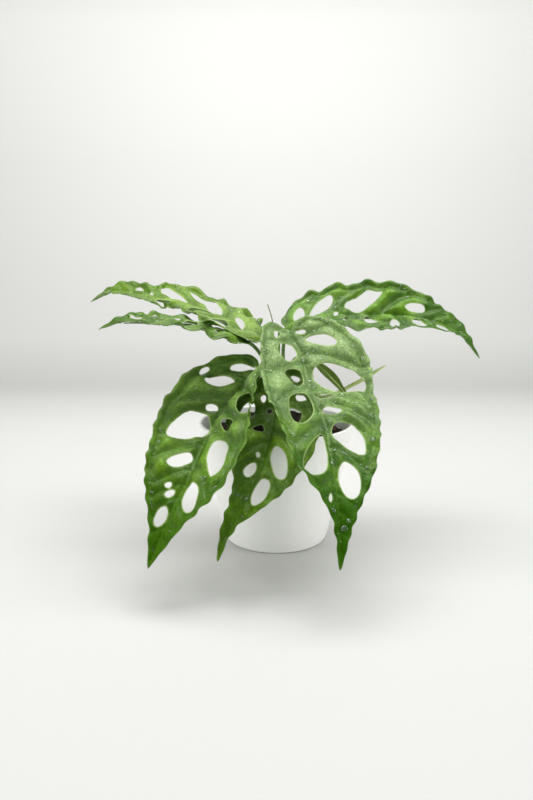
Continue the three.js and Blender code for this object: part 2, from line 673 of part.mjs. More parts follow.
// The young leaf: a thin stalk that ends in a narrow blade folded upwards to a trough.
function makeYoungLeaf() {
  const stalk = stalkPoints(YOUNG, YOUNG.radius);
  const midrib = YOUNG.midrib.map(vector);
  const curve = smoothCurve(midrib);
  const vertices = [];
  for (let i = 0; i <= YOUNG.steps; i++) {
    const share = i / YOUNG.steps;
    const [point, tangent] = [curve.getPointAt(share), curve.getTangentAt(share)];
    const level = tangent.clone().cross(UP).normalize();
    const across = level.applyAxisAngle(tangent, radians(YOUNG.roll));
    const up = across.clone().cross(tangent);
    const half = spread(YOUNG.halfWidths, share);
    const reach = half * Math.cos(radians(YOUNG.fold));
    const lift = half * Math.sin(radians(YOUNG.fold));
    for (const [x, z] of [[-reach, lift], [0, 0], [reach, lift]]) {
      for (const offset of [0, -YOUNG.thickness]) {
        vertices.push(point.clone().addScaledVector(across, x).addScaledVector(up, z + offset));
      }
    }
  }
  // Corners of a section, in order round it: upper left to right, then lower right to left.
  const round = [0, 2, 4, 5, 3, 1];
  const triangles = [];
  for (let i = 0; i < YOUNG.steps; i++) {
    round.forEach((corner, k) => {
      const next = round[(k + 1) % round.length];
      const [a, b, c, d] = [6 * i + corner, 6 * i + next, 6 * i + 6 + next, 6 * i + 6 + corner];
      triangles.push([a, b, c], [a, c, d]);
    });
  }
  for (const [a, b, c, d] of [[0, 1, 3, 2], [2, 3, 5, 4]]) {
    const far = 6 * YOUNG.steps;
    triangles.push([a, b, c], [a, c, d], [far + a, far + c, far + b], [far + a, far + d, far + c]);
  }
  const blade = solidOf(meshGeometry(vertices, triangles));
  const sunk = curve.getPointAt(0.5);
  const stalkCurve = smoothCurve([...stalk, midrib[0], sunk.addScaledVector(UP, -0.5 * YOUNG.thickness)]);
  const radiusAt = (t) => YOUNG.radius * (t > 0.75 ? 1.6 - 0.8 * t : 1);
  const tube = taperedTube(stalkCurve, radiusAt, 10, STALK.sides);
  return geometryOf(blade.add(solidOf(tube)));
}

function makeSlenderPiece(piece) {
  const curve = smoothCurve(stalkPoints(piece, piece.radii[0]));
  return taperedTube(curve, (t) => spread(piece.radii, t), piece.steps, STALK.sides);
}

const plant = new THREE.Group();
plant.add(namedMesh('pot', makePot(), COLOURS.pot));
plant.add(namedMesh('soil', makeSoil(), COLOURS.soil));
plant.add(namedMesh('stem', makeStem(), COLOURS.stem));
for (const [name, leaf] of Object.entries(LEAVES)) {
  plant.add(namedMesh(name, makeLeaf(leaf), COLOURS.leaf));
}
plant.add(namedMesh('leaf_young', makeYoungLeaf(), COLOURS.young));
plant.add(namedMesh('leaf_spear', makeSlenderPiece(SPEAR), COLOURS.spear));
plant.add(namedMesh('sheath_tip', makeSlenderPiece(SHEATH), COLOURS.sheath));

export default plant;
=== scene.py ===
# A potted Monstera obliqua of the Peru form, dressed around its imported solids: fine holed,
# waved and quilted leaves with sunken veins and water drops, thin stalks, a short stem,
# dark potting mix and a smooth white planter, on a pale studio floor under soft light.
# Sizes are in millimetres until a mesh is made, and angles are in degrees. The leaves repeat
# the driving dimensions of the solids, so each fine piece lies where its solid lies.

import math

import bpy
import numpy as np
from mathutils import Euler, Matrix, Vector, noise
from mathutils.geometry import delaunay_2d_cdt


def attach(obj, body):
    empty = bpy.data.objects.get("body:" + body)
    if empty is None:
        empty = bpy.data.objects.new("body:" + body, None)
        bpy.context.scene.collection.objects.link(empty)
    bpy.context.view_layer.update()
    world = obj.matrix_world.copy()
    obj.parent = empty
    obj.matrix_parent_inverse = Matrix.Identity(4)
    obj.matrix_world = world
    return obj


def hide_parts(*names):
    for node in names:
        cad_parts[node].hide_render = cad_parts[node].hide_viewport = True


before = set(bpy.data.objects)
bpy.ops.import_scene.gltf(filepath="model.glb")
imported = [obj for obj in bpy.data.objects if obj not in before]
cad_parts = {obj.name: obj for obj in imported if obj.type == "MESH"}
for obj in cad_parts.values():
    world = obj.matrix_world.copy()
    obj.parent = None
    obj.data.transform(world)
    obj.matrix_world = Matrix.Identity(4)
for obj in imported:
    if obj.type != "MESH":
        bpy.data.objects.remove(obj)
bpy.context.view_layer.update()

MM = 0.001
TURN = 2 * math.pi
UP = np.array([0.0, 0.0, 1.0])

# Camera: where it stands, how far it looks down and to the left, its lens and its sensor
CAMERA = dict(place=(0, -529, 216.7), pitch=11.49, turn=0.81, lens=31.5, sensor=36)

POT = dict(height=93, rim_radius=60, base_radius=40, wall=2.6, floor=4, foot_edge=2, sectors=144)
DRAIN = dict(count=4, radius=4, ring=24, depth=20, sides=40)
SOIL = dict(edge_height=81, mound=17, lump=1.3, crumb=0.7, rings=90, sectors=180)
CHIPS = dict(count=24, length=8, width=5, thickness=3, innermost=18, outermost=50, seed=11,
             squareness=0.6)
# Loose grains on the soil: dark chips, then pale perlite
GRAINS = [dict(count=420, least=1.2, most=4.0, flat=0.5, material=1),
          dict(count=70, least=1.0, most=2.4, flat=0.85, material=2)]
GRAINS_LIE = dict(seed=3, from_wall=2, from_stem=4, tilt=0.4, raised=0.1, squareness=0.7)
LUMP = dict(rings=6, sides=9, roughness=0.35, scale=1.7)
STEM = dict(x=1, y=6, foot=60, top=128, radius=3.6, scar_spacing=8)
STEM_SKIN = dict(sunk=0.25, ring=0.35, ring_width=0.12, ridges=0.12, lines=0.08, dome_start=0.95,
                 brown=0.75, brown_below=(118, 96))
STALK = dict(foot_radius=1.7, radius=1.4, knee_radius=1.6, seat=6, flare=0.3, step=1.6, sides=14,
             brown=0.6, brown_height=6)
RIB = dict(base_radius=1.4, tip_radius=0.45, reach=0.84, sunk=0.5, points=12)
GAP = 0.3

# A half blade is given by its widths at these shares of the midrib's length.
STATIONS = [0.06, 0.2, 0.36, 0.52, 0.68, 0.84]
# The lobe behind the stalk: shares of the first width and of the lobe's reach.
LOBE = [(0.28, 1), (0.62, 0.7)]
TIP_HALF_WIDTH = 0.8
TIP_POINT = 1.5

# Every full leaf, as in its solid: the points of its midrib, its heading, the roll of the
# blade, how far each half folds up and arches down, its lobes, its half widths, its waves,
# its holes as (along, out, length, width, turn, point) and its stalk.
LEAVES = {
    "leaf_front": dict(
        heading=-78,
        midrib=[(10, -5, 161), (19, -20, 147), (23, -36, 131), (31, -68, 113), (36, -99, 93),
                (38, -123, 72), (38, -145, 38)],
        roll=[5, 6, 3],
        fold=dict(right=[30, 19, 10], left=[28, 16, 8]),
        arch=dict(right=8.4, left=3.7),
        lobe=dict(right=8, left=8),
        right=[35, 39, 40, 34, 26, 6],
        left=[36, 47, 41, 36, 26, 11],
        wave=dict(length=27, height=1.1),
        holes=[
            (2, 14, 10, 5, 50, 0), (21, 13.5, 22, 17, 40, 0), (46, 12, 19, 15, 40, 0),
            (81, 16, 35, 18, 20, 0.2), (120, 10, 36, 15, 20, -0.4), (151, 4.5, 5, 2.5, 0, 0),
            (2, -8, 8, 3.5, 60, 0), (16, -17.5, 22.5, 8.3, 60, 0), (50, -21.5, 42, 24, 46, 0.15),
            (64, -8.5, 13, 4.5, 75, 0), (79, -8, 14, 6, 75, 0), (106, -14.5, 31, 17, 22, 0.4),
            (138, -8.5, 26, 13.5, 4, 0),
        ],
        stalk=dict(side=310, height=112, way=[(6.4, 3, 125), (5.4, 4, 138), (5.4, 4.4, 150),
                                              (7, 2.6, 159.5), (8.8, -1.6, 162.2)]),
    ),
    "leaf_front_left": dict(
        heading=-120,
        midrib=[(-12, -13, 135), (-28, -25, 121), (-45, -47, 101), (-56, -87, 80),
                (-67, -107, 59), (-79, -125, 29)],
        roll=[-15, 9, 8],
        fold=dict(right=[27, 24, 8], left=[34, 20, 4]),
        arch=dict(right=1, left=1),
        lobe=dict(right=6, left=5),
        right=[34, 43, 39, 34, 28, 12],
        left=[32, 39, 37, 35, 29, 13],
        wave=dict(length=25, height=1.3),
        holes=[
            (6, 12.5, 21, 5, 56, 0), (22, 35, 6, 3, 20, 0), (24, 18, 21, 12, 62, 0),
            (45, 8.5, 9, 4.5, 70, 0), (69, 15.5, 36, 23, 26, 0.4), (100, 9.5, 20, 9.5, 42, 0),
            (121, 9.5, 5, 3.5, 45, 0), (126, 6, 7, 5, 40, 0), (142, 5, 14, 7.5, 2, 0),
            (42, -25, 32, 14, 35, -0.3), (63, -15, 17, 9, 32, 0), (95, -16, 31, 14, 12, 0.1),
            (125, -8.5, 21, 12, 20, 0),
        ],
        stalk=dict(side=215, height=101, way=[(-6.5, -1.5, 122), (-8.2, -5.4, 132.5),
                                              (-9.8, -9.8, 136.2)]),
    ),
    "leaf_middle": dict(
        heading=-112,
        midrib=[(4, -4, 139), (-1, -35, 110), (-8, -70, 88), (-20, -92, 64), (-31, -103, 46),
                (-37, -112, 28)],
        roll=[4, 0, 2],
        fold=dict(right=[8, 12, 8], left=[4, 11, 7]),
        arch=dict(right=9, left=15),
        lobe=dict(right=4, left=1),
        right=[10, 32, 33, 26, 13, 6],
        left=[24, 29, 35, 33, 23, 7],
        wave=dict(length=24, height=1),
        holes=[
            (34, 9.5, 6.5, 4, 0, 0), (43, 4, 6, 4, 0, 0), (46, 22, 19, 11, 35, 0),
            (63, 9, 10, 8, -40, 0), (78, 19, 15, 6, 25, 0), (87, 4, 3.5, 3, 0, 0),
            (100, 5.5, 12.5, 7.5, 6, 0), (14, -12, 9, 5, 50, 0), (32, -18, 8, 5, 80, 0),
            (52, -15.5, 20, 10.5, 6, 0.3), (92, -13, 24, 11, 32, 0), (114, -8, 19, 11, -4, 0),
        ],
        stalk=dict(side=265, height=102, way=[(-0.8, 0.2, 120), (-0.6, 1, 131), (1.4, 0, 138.2)]),
    ),
    "leaf_right": dict(
        heading=5,
        midrib=[(7, 36, 162), (27, 33, 171), (60, 32, 173), (96, 27, 173), (118, 17, 171),
                (140, 11, 162), (154, 1, 143)],
        roll=[0, -21, -25],
        fold=dict(right=[1, 13, -3], left=[15, 30, 12]),
        arch=dict(right=9, left=1),
        lobe=dict(right=5, left=3),
        right=[24, 33, 35, 31, 22, 11],
        left=[34, 40, 37, 32, 20, 10],
        wave=dict(length=22, height=2.2),
        holes=[
            (38, 18, 11, 5.5, 60, 0.2), (53, 12, 10, 5.5, 40, 0), (72, 14, 16, 9, 35, 0),
            (92, 18, 13, 7, 30, 0), (112, 11, 11, 8, 26, 0), (130, 7, 13, 5.5, 6, 0),
            (13, -9.5, 19, 8, 75, 0.2), (31, -13.5, 30, 11.5, 52, 0), (65, -16, 31, 18, 30, 0.4),
            (43, -4.5, 5, 3.5, 60, 0), (103, -8.5, 14, 7.5, 4, 0),
        ],
        stalk=dict(side=80, height=104, way=[(1.6, 14.5, 125), (1.6, 22, 142), (2.2, 31, 154),
                                             (4, 34.8, 159.4)]),
    ),
    "leaf_back_left": dict(
        heading=152,
        midrib=[(-11, 12, 156), (-25, 13, 163), (-45, 25, 172), (-76, 47, 180), (-104, 52, 187),
                (-137, 69, 190), (-160, 78, 180)],
        roll=[-7, 4, 22],
        fold=dict(right=[9, 16, 18], left=[12, 14, 8]),
        arch=dict(right=7.6, left=10.8),
        lobe=dict(right=5, left=5),
        right=[33, 41, 32, 33, 16, 13],
        left=[32, 35, 27, 29, 17, 12],
        wave=dict(length=20, height=2.8),
        holes=[
            (25, 7, 17, 6, 31, 0), (32, 27, 13, 6, 50, 0), (64, 14, 46, 11, 27, 0.2),
            (93, 10, 28, 10, 24, 0), (111, 4, 5, 3.5, 35, 0), (126, 7, 9, 5, 15, 0),
            (26, -24, 17, 7, 55, 0), (48, -14, 20, 9, 40, 0), (91, -16, 17, 10, 15, 0),
            (118, -7, 11, 5, 10, 0),
        ],
        stalk=dict(side=130, height=108, way=[(-4.6, 10, 130), (-5.6, 10.8, 145),
                                              (-8, 11.8, 153.4)]),
    ),
    "leaf_left": dict(
        heading=194,
        midrib=[(-27, -1, 158), (-38, -4, 163), (-53, -10, 169), (-70, -17, 173),
                (-91, -26, 174), (-108, -32, 174), (-124, -38, 168)],
        roll=[-3, 3, 3],
        fold=dict(right=[0, 6, 20], left=[-6, 2, 1]),
        arch=dict(right=8, left=7),
        lobe=dict(right=6, left=5),
        right=[16, 17, 20, 24, 17, 8],
        left=[28, 33, 31, 27, 18, 8],
        wave=dict(length=19, height=3.2),
        holes=[
            (12, 7, 10, 4, 40, 0), (28, 8, 12, 5, 35, 0), (55, 11, 28, 11, 16, 0),
            (80, 6, 9, 4, 15, 0), (22, -15, 15, 7, 50, 0), (45, -13, 17, 8, 35, 0),
            (68, -8, 11, 5, 20, 0),
        ],
        stalk=dict(side=178, height=114, way=[(-7, 5, 132), (-12, 3, 144), (-19.5, 0.6, 152.6)]),
    ),
}

YOUNG = dict(
    side=35, height=115, radius=1.15,
    way=[(8.5, 9, 128), (13, 8, 139), (20, 6, 143.5)],
    midrib=[(24, 4.5, 142.5), (33, 3, 135), (45, 1.5, 123.5), (57, 0, 110)],
    half_widths=[0.8, 3, 4.7, 4.4, 2.4, 0.7],
    fold=28, roll=48,
)
SPEAR = dict(
    side=-5, height=103,
    way=[(9, 6.5, 112), (20, 8, 112.5), (38, 10, 110), (62, 13, 120), (86, 16, 134)],
    radii=[1.5, 1.4, 1.2, 1.2, 1.4, 1.75, 1.6, 0.35],
)
SHEATH = dict(
    side=105, height=121,
    way=[(-1.2, 8, 140), (-2, 6.6, 158), (-3.4, 6.6, 171), (-6.8, 7.4, 182)],
    radii=[0.8, 0.75, 0.6, 0.45, 0.35],
)
# The young leaf's points along and across, its half thickness, cup and waves; and the seam
# that winds around the spear's rolled end
YOUNG_BLADE = dict(rows=60, columns=13, middle=0.28, thinner=0.12, sunk=0.3, wave=0.25,
                   wave_turns=14, cup=0.075)
SPEAR_SEAM = dict(depth=0.16, width=0.35, twist=5)

# The fine blade: the spacing of its points, how far those inside it keep from its edges, its
# thickness, and the relief between and on its veins
MESH_STEP = 0.95
EDGE_STEP = 0.8
NET_MARGIN = 1
BLADE = dict(thickness=0.5, edge_share=0.55, edge_width=0.6, rounding=0.12)
QUILT = dict(height=4.2, width=4.2, middle=0.5, smoothing=6, calm_edge=5, calm_tip=0.5)
FURROW = dict(depth=0.45, width=0.8)
MIDRIB_FURROW = dict(depth=0.6, width=1.1)
HOLE_CURL = dict(depth=0.5, width=2.0)
# The margin's ripple: its start and end along the margin, and its shift on each half
RIPPLE = dict(height=0.8, inset=0.5, mean_inset=0.4, length=12, wander=1.7, wander_length=13, reach=4,
              start=(12, 30), end=25, first_share=0.1, last_share=0.12, right=0.5, left=2.4)
WRINKLE = dict(height=0.3, size=8, roughness=0.8, octaves=3)
# How fast a leaf's own waves fade in and out along it, and how far the left half's are shifted
WAVE = dict(fade_in=6, fade_out=5, left_shift=1.3)
# The front leaf is quilted less deeply than the others.
FULLNESS = dict(leaf_front=0.75)
# Lateral veins leave the midrib at this slope and bend towards the tip, both by the share of
# the midrib's length at which they start.
VEIN_START = dict(share=[0, 0.12, 0.3, 1], slope=[-0.35, 0.2, 0.45, 0.9])
VEIN_BEND = dict(share=[0, 0.3, 1], bend=[0.004, 0.014, 0.03])
# They start between the holes and, beyond the last hole, at even spaces up to near the tip.
VEINS = dict(first=-12, at_stalk=1.0, before_holes=2, after_holes=3, overlap=3, widest_gap=17,
             spacing=12, last_share=0.93, reach=60, points=30)
# The vein that collects them runs at this share of the half width, where that is wide enough.
COLLECTING_VEIN = dict(share=0.87, least_width=6, lobe_share=0.8, step=4)

# How strongly the veins and the pale rims of the edges (partly a painted highlight) are painted,
# and how wide; over which shares of the midrib's length the painted shade of the tip sets in and the
# painted sheen near the stalk fades; over which bulge the painted sheen sets in; and how much lime
# and painted sheen the furrows keep, which leaves painted shade in them
PAINTED = dict(vein=0.1, midrib=0.15, vein_width=0.5, margin_rim=0.45, rim_width=0.35,
               tip_shade_from=(0.55, 0.9), painted_sheen_until=(0.65, 0.15), painted_sheen_bulge=(0.1, 0.8),
               lime_in_furrow=0.35, painted_sheen_in_furrow=0.5)
BLADE_VALUES = ("vein", "rim", "tip", "under", "bulge", "lime", "pale")
# How yellow each leaf is all over, how much painted sheen it has near its stalk, and how much
# painted shade darkens its tip
LEAF_TONES = dict(
    leaf_front=dict(lime=0.1, pale=0.85, tip_shade=1.0),
    leaf_front_left=dict(lime=0.3, pale=0.25, tip_shade=1.0),
    leaf_middle=dict(lime=0.4, pale=0.1, tip_shade=0.5),
    leaf_right=dict(lime=0.1, pale=0.1, tip_shade=0.3),
    leaf_back_left=dict(lime=0.7, pale=0.2, tip_shade=0.1),
    leaf_left=dict(lime=0.3, pale=0.1, tip_shade=0.6),
)

# Water drops on each leaf: small ones along the veins, and beads anywhere
DROPS = dict(
    leaf_front=(300, 42), leaf_front_left=(260, 28), leaf_middle=(110, 14),
    leaf_right=(140, 16), leaf_back_left=(90, 8), leaf_left=(50, 4),
)
SMALL_DROP = dict(least=0.45, more=0.5, evenness=2, from_vein=1.6, from_edge=1.2)
BEAD = dict(least=1.2, more=0.9, evenness=1.5, from_edge=2)
DROPS_REACH = dict(last_share=0.97, thinning=0.6)
DROP_SHAPE = dict(sides=12, rings=4, contact=100, sunk=0.35, height=(0.6, 0.25), stretch=0.3)
DROPS_SEED = 5

# The stage is a floor that sweeps up into a wall, a little darker where it starts to rise: painted
# shade there, and painted light that brightens the wall towards its top.
STAGE = dict(side=2600, front=2600, back=330, bend=720, top=2600, below=0.05)
STAGE_SHADING_TOP = 1000
STAGE_SHADING = [(0, 0.5), (1000, 0.88), (8, 0.45), (25, 0.36), (80, 0.46), (400, 0.65), (700, 0.88)]
STAGE_WARMTH = 0.97
SKY = dict(colour=(1.0, 1.0, 0.985), strength=0.5)
# Lights: where they hang, what they are aimed at, their width and depth, and their watts
LIGHTS = dict(
    overhead=dict(place=(0, 160, 1050), target=(0, 0, 0), size=(900, 600), power=13.6),
    left_fill=dict(place=(-1000, -350, 450), target=(0, 0, 100), size=(800, 800), power=6.5),
    right_fill=dict(place=(1000, -350, 450), target=(0, 0, 100), size=(800, 800), power=6.5),
)

CURVE_STEPS = 40
# Distances on a blade are whole millimetres, up to this far, and are found for so many edges
# at once.
FAR = 10
SEGMENTS_AT_ONCE = 12


# Curves

def catmull_rom(points, power):
    """Points along the smooth curve through these points, with power 0 even and 0.5 centripetal."""
    p = np.array(points, float)
    p = np.vstack([2 * p[0] - p[1], p, 2 * p[-1] - p[-2]])
    t = np.linspace(0, 1, CURVE_STEPS, endpoint=False)[:, None]
    made = []
    for a, b, c, d in zip(p, p[1:], p[2:], p[3:]):
        ab, bc, cd = [max(np.linalg.norm(v) ** power, 1e-6) for v in (b - a, c - b, d - c)]
        start = ((b - a) / ab - (c - a) / (ab + bc) + (c - b) / bc) * bc
        end = ((c - b) / bc - (d - b) / (bc + cd) + (d - c) / cd) * bc
        made.append(b * (2 * t**3 - 3 * t**2 + 1) + start * (t**3 - 2 * t**2 + t)
                    + c * (3 * t**2 - 2 * t**3) + end * (t**3 - t**2))
    made.append(p[-2:-1])
    return np.vstack(made)


class Path:
    """A smooth curve that is read by the length along it."""

    def __init__(self, points, power=0.5):
        self.points = catmull_rom(points, power)
        self.lengths = lengths_along(self.points)
        self.length = self.lengths[-1]
        self.tangents = unit(np.gradient(self.points, self.lengths, axis=0))

    def at(self, along):
        return interpolated(along, self.lengths, self.points)

    def heading(self, along):
        return unit(interpolated(along, self.lengths, self.tangents))


def lengths_along(points):
    """How far along a line of points each of them lies."""
    steps = np.linalg.norm(np.diff(points, axis=0), axis=1)
    return np.concatenate([[0], np.cumsum(steps)])


def interpolated(at, places, rows):
    """Each column of the rows, read between the places at which they are given."""
    return np.stack([np.interp(at, places, column) for column in rows.T], -1)


def unit(vectors):
    return vectors / np.linalg.norm(vectors, axis=-1, keepdims=True)


def spread(values, share):
    """The value at a share from 0 to 1 of a list of values spread evenly."""
    return np.interp(share, np.linspace(0, 1, len(values)), values)


def smooth_step(low, high, x):
    """From 0 at low to 1 at high; low may be the larger."""
    t = np.clip((x - low) / (high - low), 0, 1)
    return t * t * (3 - 2 * t)


def bell(x, width):
    """1 at 0, and falling off to both sides."""
    return np.exp(-((x / width) ** 2))


def polar(radius, angle):
    return radius * math.cos(angle), radius * math.sin(angle)


def circle(radius, sectors, z):
    """Points around the upright axis at one height."""
    return [(*polar(radius, TURN * k / sectors), z) for k in range(sectors)]


# Meshes

def linked(name, data):
    made = bpy.data.objects.new(name, data)
    bpy.context.scene.collection.objects.link(made)
    return made


def new_mesh(name, vertices, faces, materials):
    mesh = bpy.data.meshes.new(name)
    mesh.from_pydata((np.asarray(vertices, float) * MM).tolist(), [], faces)
    for material in materials:
        mesh.materials.append(material)
    mesh.polygons.foreach_set("use_smooth", [True] * len(mesh.polygons))
    return mesh


class Shape:
    """The vertices, faces and painted values of one piece, gathered from several bodies."""

    def __init__(self, value_names=()):
        self.vertices = []
        self.faces = []
        self.slots = []
        self.values = {name: [] for name in value_names}
        self.count = 0

    def add(self, vertices, faces, slot=0, **values):
        """Adds one body with the material in this slot. A value is a number or one a vertex."""
        vertices = np.asarray(vertices, float)
        self.vertices.append(vertices)
        self.faces.extend([tuple(int(i) + self.count for i in face) for face in faces])
        self.slots.extend([slot] * len(faces))
        for name, gathered in self.values.items():
            value = values.get(name, 0.0)
            gathered.append(np.broadcast_to(np.asarray(value, float), (len(vertices),)))
        self.count += len(vertices)

    def make(self, name, materials):
        mesh = new_mesh(name, np.vstack(self.vertices), self.faces, materials)
        for value_name, gathered in self.values.items():
            attribute = mesh.attributes.new(value_name, "FLOAT", "POINT")
            attribute.data.foreach_set("value", np.concatenate(gathered).astype(np.float32))
        mesh.polygons.foreach_set("material_index", self.slots)
        mesh.update()
        made = linked(name, mesh)
        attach(made, "root")
        return made

    def stand_in(self, solid, materials):
        """Makes the fine piece that replaces a solid's node."""
        made = self.make(solid + "_fine", materials)
        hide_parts(solid)
        return made


def grid_faces(rows, columns, closed=False):
    """Four-sided faces between rows of points. closed joins each row's end to its start."""
    faces = []
    for i in range(rows - 1):
        for k in range(columns if closed else columns - 1):
            after = (k + 1) % columns
            faces.append((i * columns + k, i * columns + after,
                          (i + 1) * columns + after, (i + 1) * columns + k))
    return faces


def capped_faces(rows, sides):
    """Faces of a closed body: a top point, rows of points around it, and a bottom point."""
    faces = [(0, 1 + k, 1 + (k + 1) % sides) for k in range(sides)]
    faces += [tuple(1 + i for i in reversed(face)) for face in grid_faces(rows, sides, closed=True)]
    last = 1 + rows * sides
    first = last - sides
    faces += [(last, first + (k + 1) % sides, first + k) for k in range(sides)]
    return faces


def border_of(faces):
    """The edges that only one face has, in the direction in which that face has them."""
    directed = set()
    for face in faces:
        directed.update(zip(face, face[1:] + face[:1]))
    return sorted((a, b) for a, b in directed if (b, a) not in directed)


def tube(path, radius, steps, sides):
    """A closed round tube along a path. radius(share, angles) gives its radius."""
    along = np.linspace(0, path.length, steps + 1)
    centres = path.at(along)
    tangents = path.heading(along)
    normal = unit(np.cross(tangents[0], [0.3, 0.9, 0.1]))
    angles = np.linspace(0, TURN, sides, endpoint=False)
    rings = []
    for i in range(steps + 1):
        normal = unit(normal - tangents[i] * normal.dot(tangents[i]))
        binormal = np.cross(tangents[i], normal)
        directions = np.outer(np.cos(angles), normal) + np.outer(np.sin(angles), binormal)
        reach = np.broadcast_to(radius(i / steps, angles), angles.shape)
        rings.append(centres[i] + directions * reach[:, None])
    vertices = np.vstack(rings + [centres[:1], centres[-1:]])
    faces = grid_faces(steps + 1, sides, closed=True)
    first, last = len(vertices) - 2, len(vertices) - 1
    top = steps * sides
    faces += [(first, (k + 1) % sides, k) for k in range(sides)]
    faces += [(last, top + k, top + (k + 1) % sides) for k in range(sides)]
    return vertices, faces


# Shaders

def feed(tree, socket, value):
    if isinstance(value, bpy.types.NodeSocket):
        tree.links.new(value, socket)
    else:
        socket.default_value = value


def feed_all(tree, made, **inputs):
    """Feeds a node's inputs, each named with _ for a space, from a number, a colour or
    another node's output."""
    for name, value in inputs.items():
        feed(tree, made.inputs[name.replace("_", " ")], value)


def node(tree, kind, settings=None, **inputs):
    made = tree.nodes.new(kind)
    for name, value in (settings or {}).items():
        setattr(made, name, value)
    feed_all(tree, made, **inputs)
    return made


def painted(tree, name):
    return node(tree, "ShaderNodeAttribute", dict(attribute_name=name)).outputs["Fac"]


def mix(tree, share, first, second):
    """A colour between two colours."""
    made = node(tree, "ShaderNodeMix", dict(data_type="RGBA"))
    for place, value in ((0, share), (6, first), (7, second)):
        feed(tree, made.inputs[place], value)
    return made.outputs[2]


def remap(tree, value, low, high, to_low=0.0, to_high=1.0):
    return node(tree, "ShaderNodeMapRange", Value=value, From_Min=low, From_Max=high,
                To_Min=to_low, To_Max=to_high).outputs[0]


def object_place(tree):
    return node(tree, "ShaderNodeTexCoord").outputs["Object"]


def speckle(tree, scale, detail=3.0, roughness=0.55):
    """Soft noise in the object's own space. scale is in cells a metre."""
    return node(tree, "ShaderNodeTexNoise", Vector=object_place(tree), Scale=scale,
                Detail=detail, Roughness=roughness).outputs["Fac"]


def relief(tree, height, distance, strength, **normal):
    return node(tree, "ShaderNodeBump", Height=height, Distance=distance, Strength=strength,
                **normal).outputs[0]


def new_material(name, roughness):
    made = bpy.data.materials.new(name)
    made.use_nodes = True
    shader = made.node_tree.nodes["Principled BSDF"]
    shader.inputs["Roughness"].default_value = roughness
    return made, made.node_tree, shader


def rgb(red, green, blue):
    return (red, green, blue, 1.0)


DEEP_GREEN = rgb(0.015, 0.075, 0.0004)
MID_GREEN = rgb(0.1, 0.27, 0.003)
FRESH_GREEN = rgb(0.22, 0.44, 0.008)
VEIN_GREEN = rgb(0.16, 0.34, 0.04)
# The pale rims of the edges: partly the edge's own paler tissue, partly a painted highlight of the cut
RIM_GREEN = rgb(0.42, 0.55, 0.22)
# Painted shade: the tips of the leaves that hang away from the light
TIP_SHADE_GREEN = rgb(0.014, 0.08, 0.0004)
LIME_GREEN = rgb(0.3, 0.45, 0.02)
# Painted sheen: the pale grey-green that the upper leaf shows near its stalk under the overhead light
PAINTED_SHEEN_GREEN = rgb(0.42, 0.56, 0.26)
UNDER_GREEN = rgb(0.12, 0.26, 0.02)
LIT_THROUGH = rgb(0.3, 0.55, 0.01)
SHEEN = rgb(0.82, 1.0, 0.5)
SHARE_LIT_THROUGH = 0.14

# The young leaf is more olive, with a pale vein.
YOUNG_GREENS = dict(deep=rgb(0.07, 0.12, 0.012), middle=rgb(0.13, 0.2, 0.025),
                    fresh=rgb(0.2, 0.28, 0.05), vein=rgb(0.5, 0.62, 0.28))


def leaf_material(name, deep=DEEP_GREEN, middle=MID_GREEN, fresh=FRESH_GREEN, vein=VEIN_GREEN):
    """Deep green in the furrows and at the holes and fresher on the bulges, as painted shade; paler
    underneath.
    """
    made, tree, shader = new_material(name, 0.34)
    cloud = remap(tree, speckle(tree, 60, 4), 0.32, 0.68)
    fine = remap(tree, speckle(tree, 620, 3), 0.42, 0.62, 0.0, 0.55)
    net = node(tree, "ShaderNodeTexVoronoi", dict(feature="DISTANCE_TO_EDGE"),
               Vector=object_place(tree), Scale=480)
    cells = remap(tree, net.outputs["Distance"], 0.0, 0.25)
    # Painted shade: deep green in the furrows and around the holes, mid green on the bulges
    colour = mix(tree, remap(tree, painted(tree, "bulge"), 0.3, 0.75), deep, middle)
    colour = mix(tree, remap(tree, cloud, 0.35, 1.0, 0.0, 0.5), colour, fresh)
    # Painted shade darkens the tips that hang away from the light
    colour = mix(tree, painted(tree, "tip"), colour, TIP_SHADE_GREEN)
    colour = mix(tree, painted(tree, "lime"), colour, LIME_GREEN)
    # Painted sheen near the stalk, strongest on the bulges
    colour = mix(tree, painted(tree, "pale"), colour, PAINTED_SHEEN_GREEN)
    colour = mix(tree, fine, colour, deep)
    colour = mix(tree, remap(tree, cells, 0.0, 1.0, 0.3, 0.0), colour, deep)
    colour = mix(tree, painted(tree, "vein"), colour, vein)
    colour = mix(tree, remap(tree, painted(tree, "under"), 0.0, 1.0, 0.0, 0.85), colour, UNDER_GREEN)
    # Pale rims at the edges, partly a painted highlight
    colour = mix(tree, remap(tree, painted(tree, "rim"), 0.3, 1.0, 0.0, 0.7), colour, RIM_GREEN)
    pebbled = relief(tree, speckle(tree, 650, 3), 0.0008, 0.4)
    # The painted shade of the tips also takes away most of their gloss.
    feed_all(tree, shader, Base_Color=colour, Specular_Tint=SHEEN,
             Specular_IOR_Level=remap(tree, painted(tree, "tip"), 0, 1, 0.42, 0.05),
             Roughness=remap(tree, speckle(tree, 300), 0.3, 0.7, 0.27, 0.4),
             Normal=relief(tree, cells, 0.0003, 0.5, Normal=pebbled))
    through = node(tree, "ShaderNodeBsdfTranslucent", Color=LIT_THROUGH)
    both = node(tree, "ShaderNodeMixShader")
    for place, value in enumerate((SHARE_LIT_THROUGH, shader.outputs[0], through.outputs[0])):
        feed(tree, both.inputs[place], value)
    feed_all(tree, tree.nodes["Material Output"], Surface=both.outputs[0])
    return made


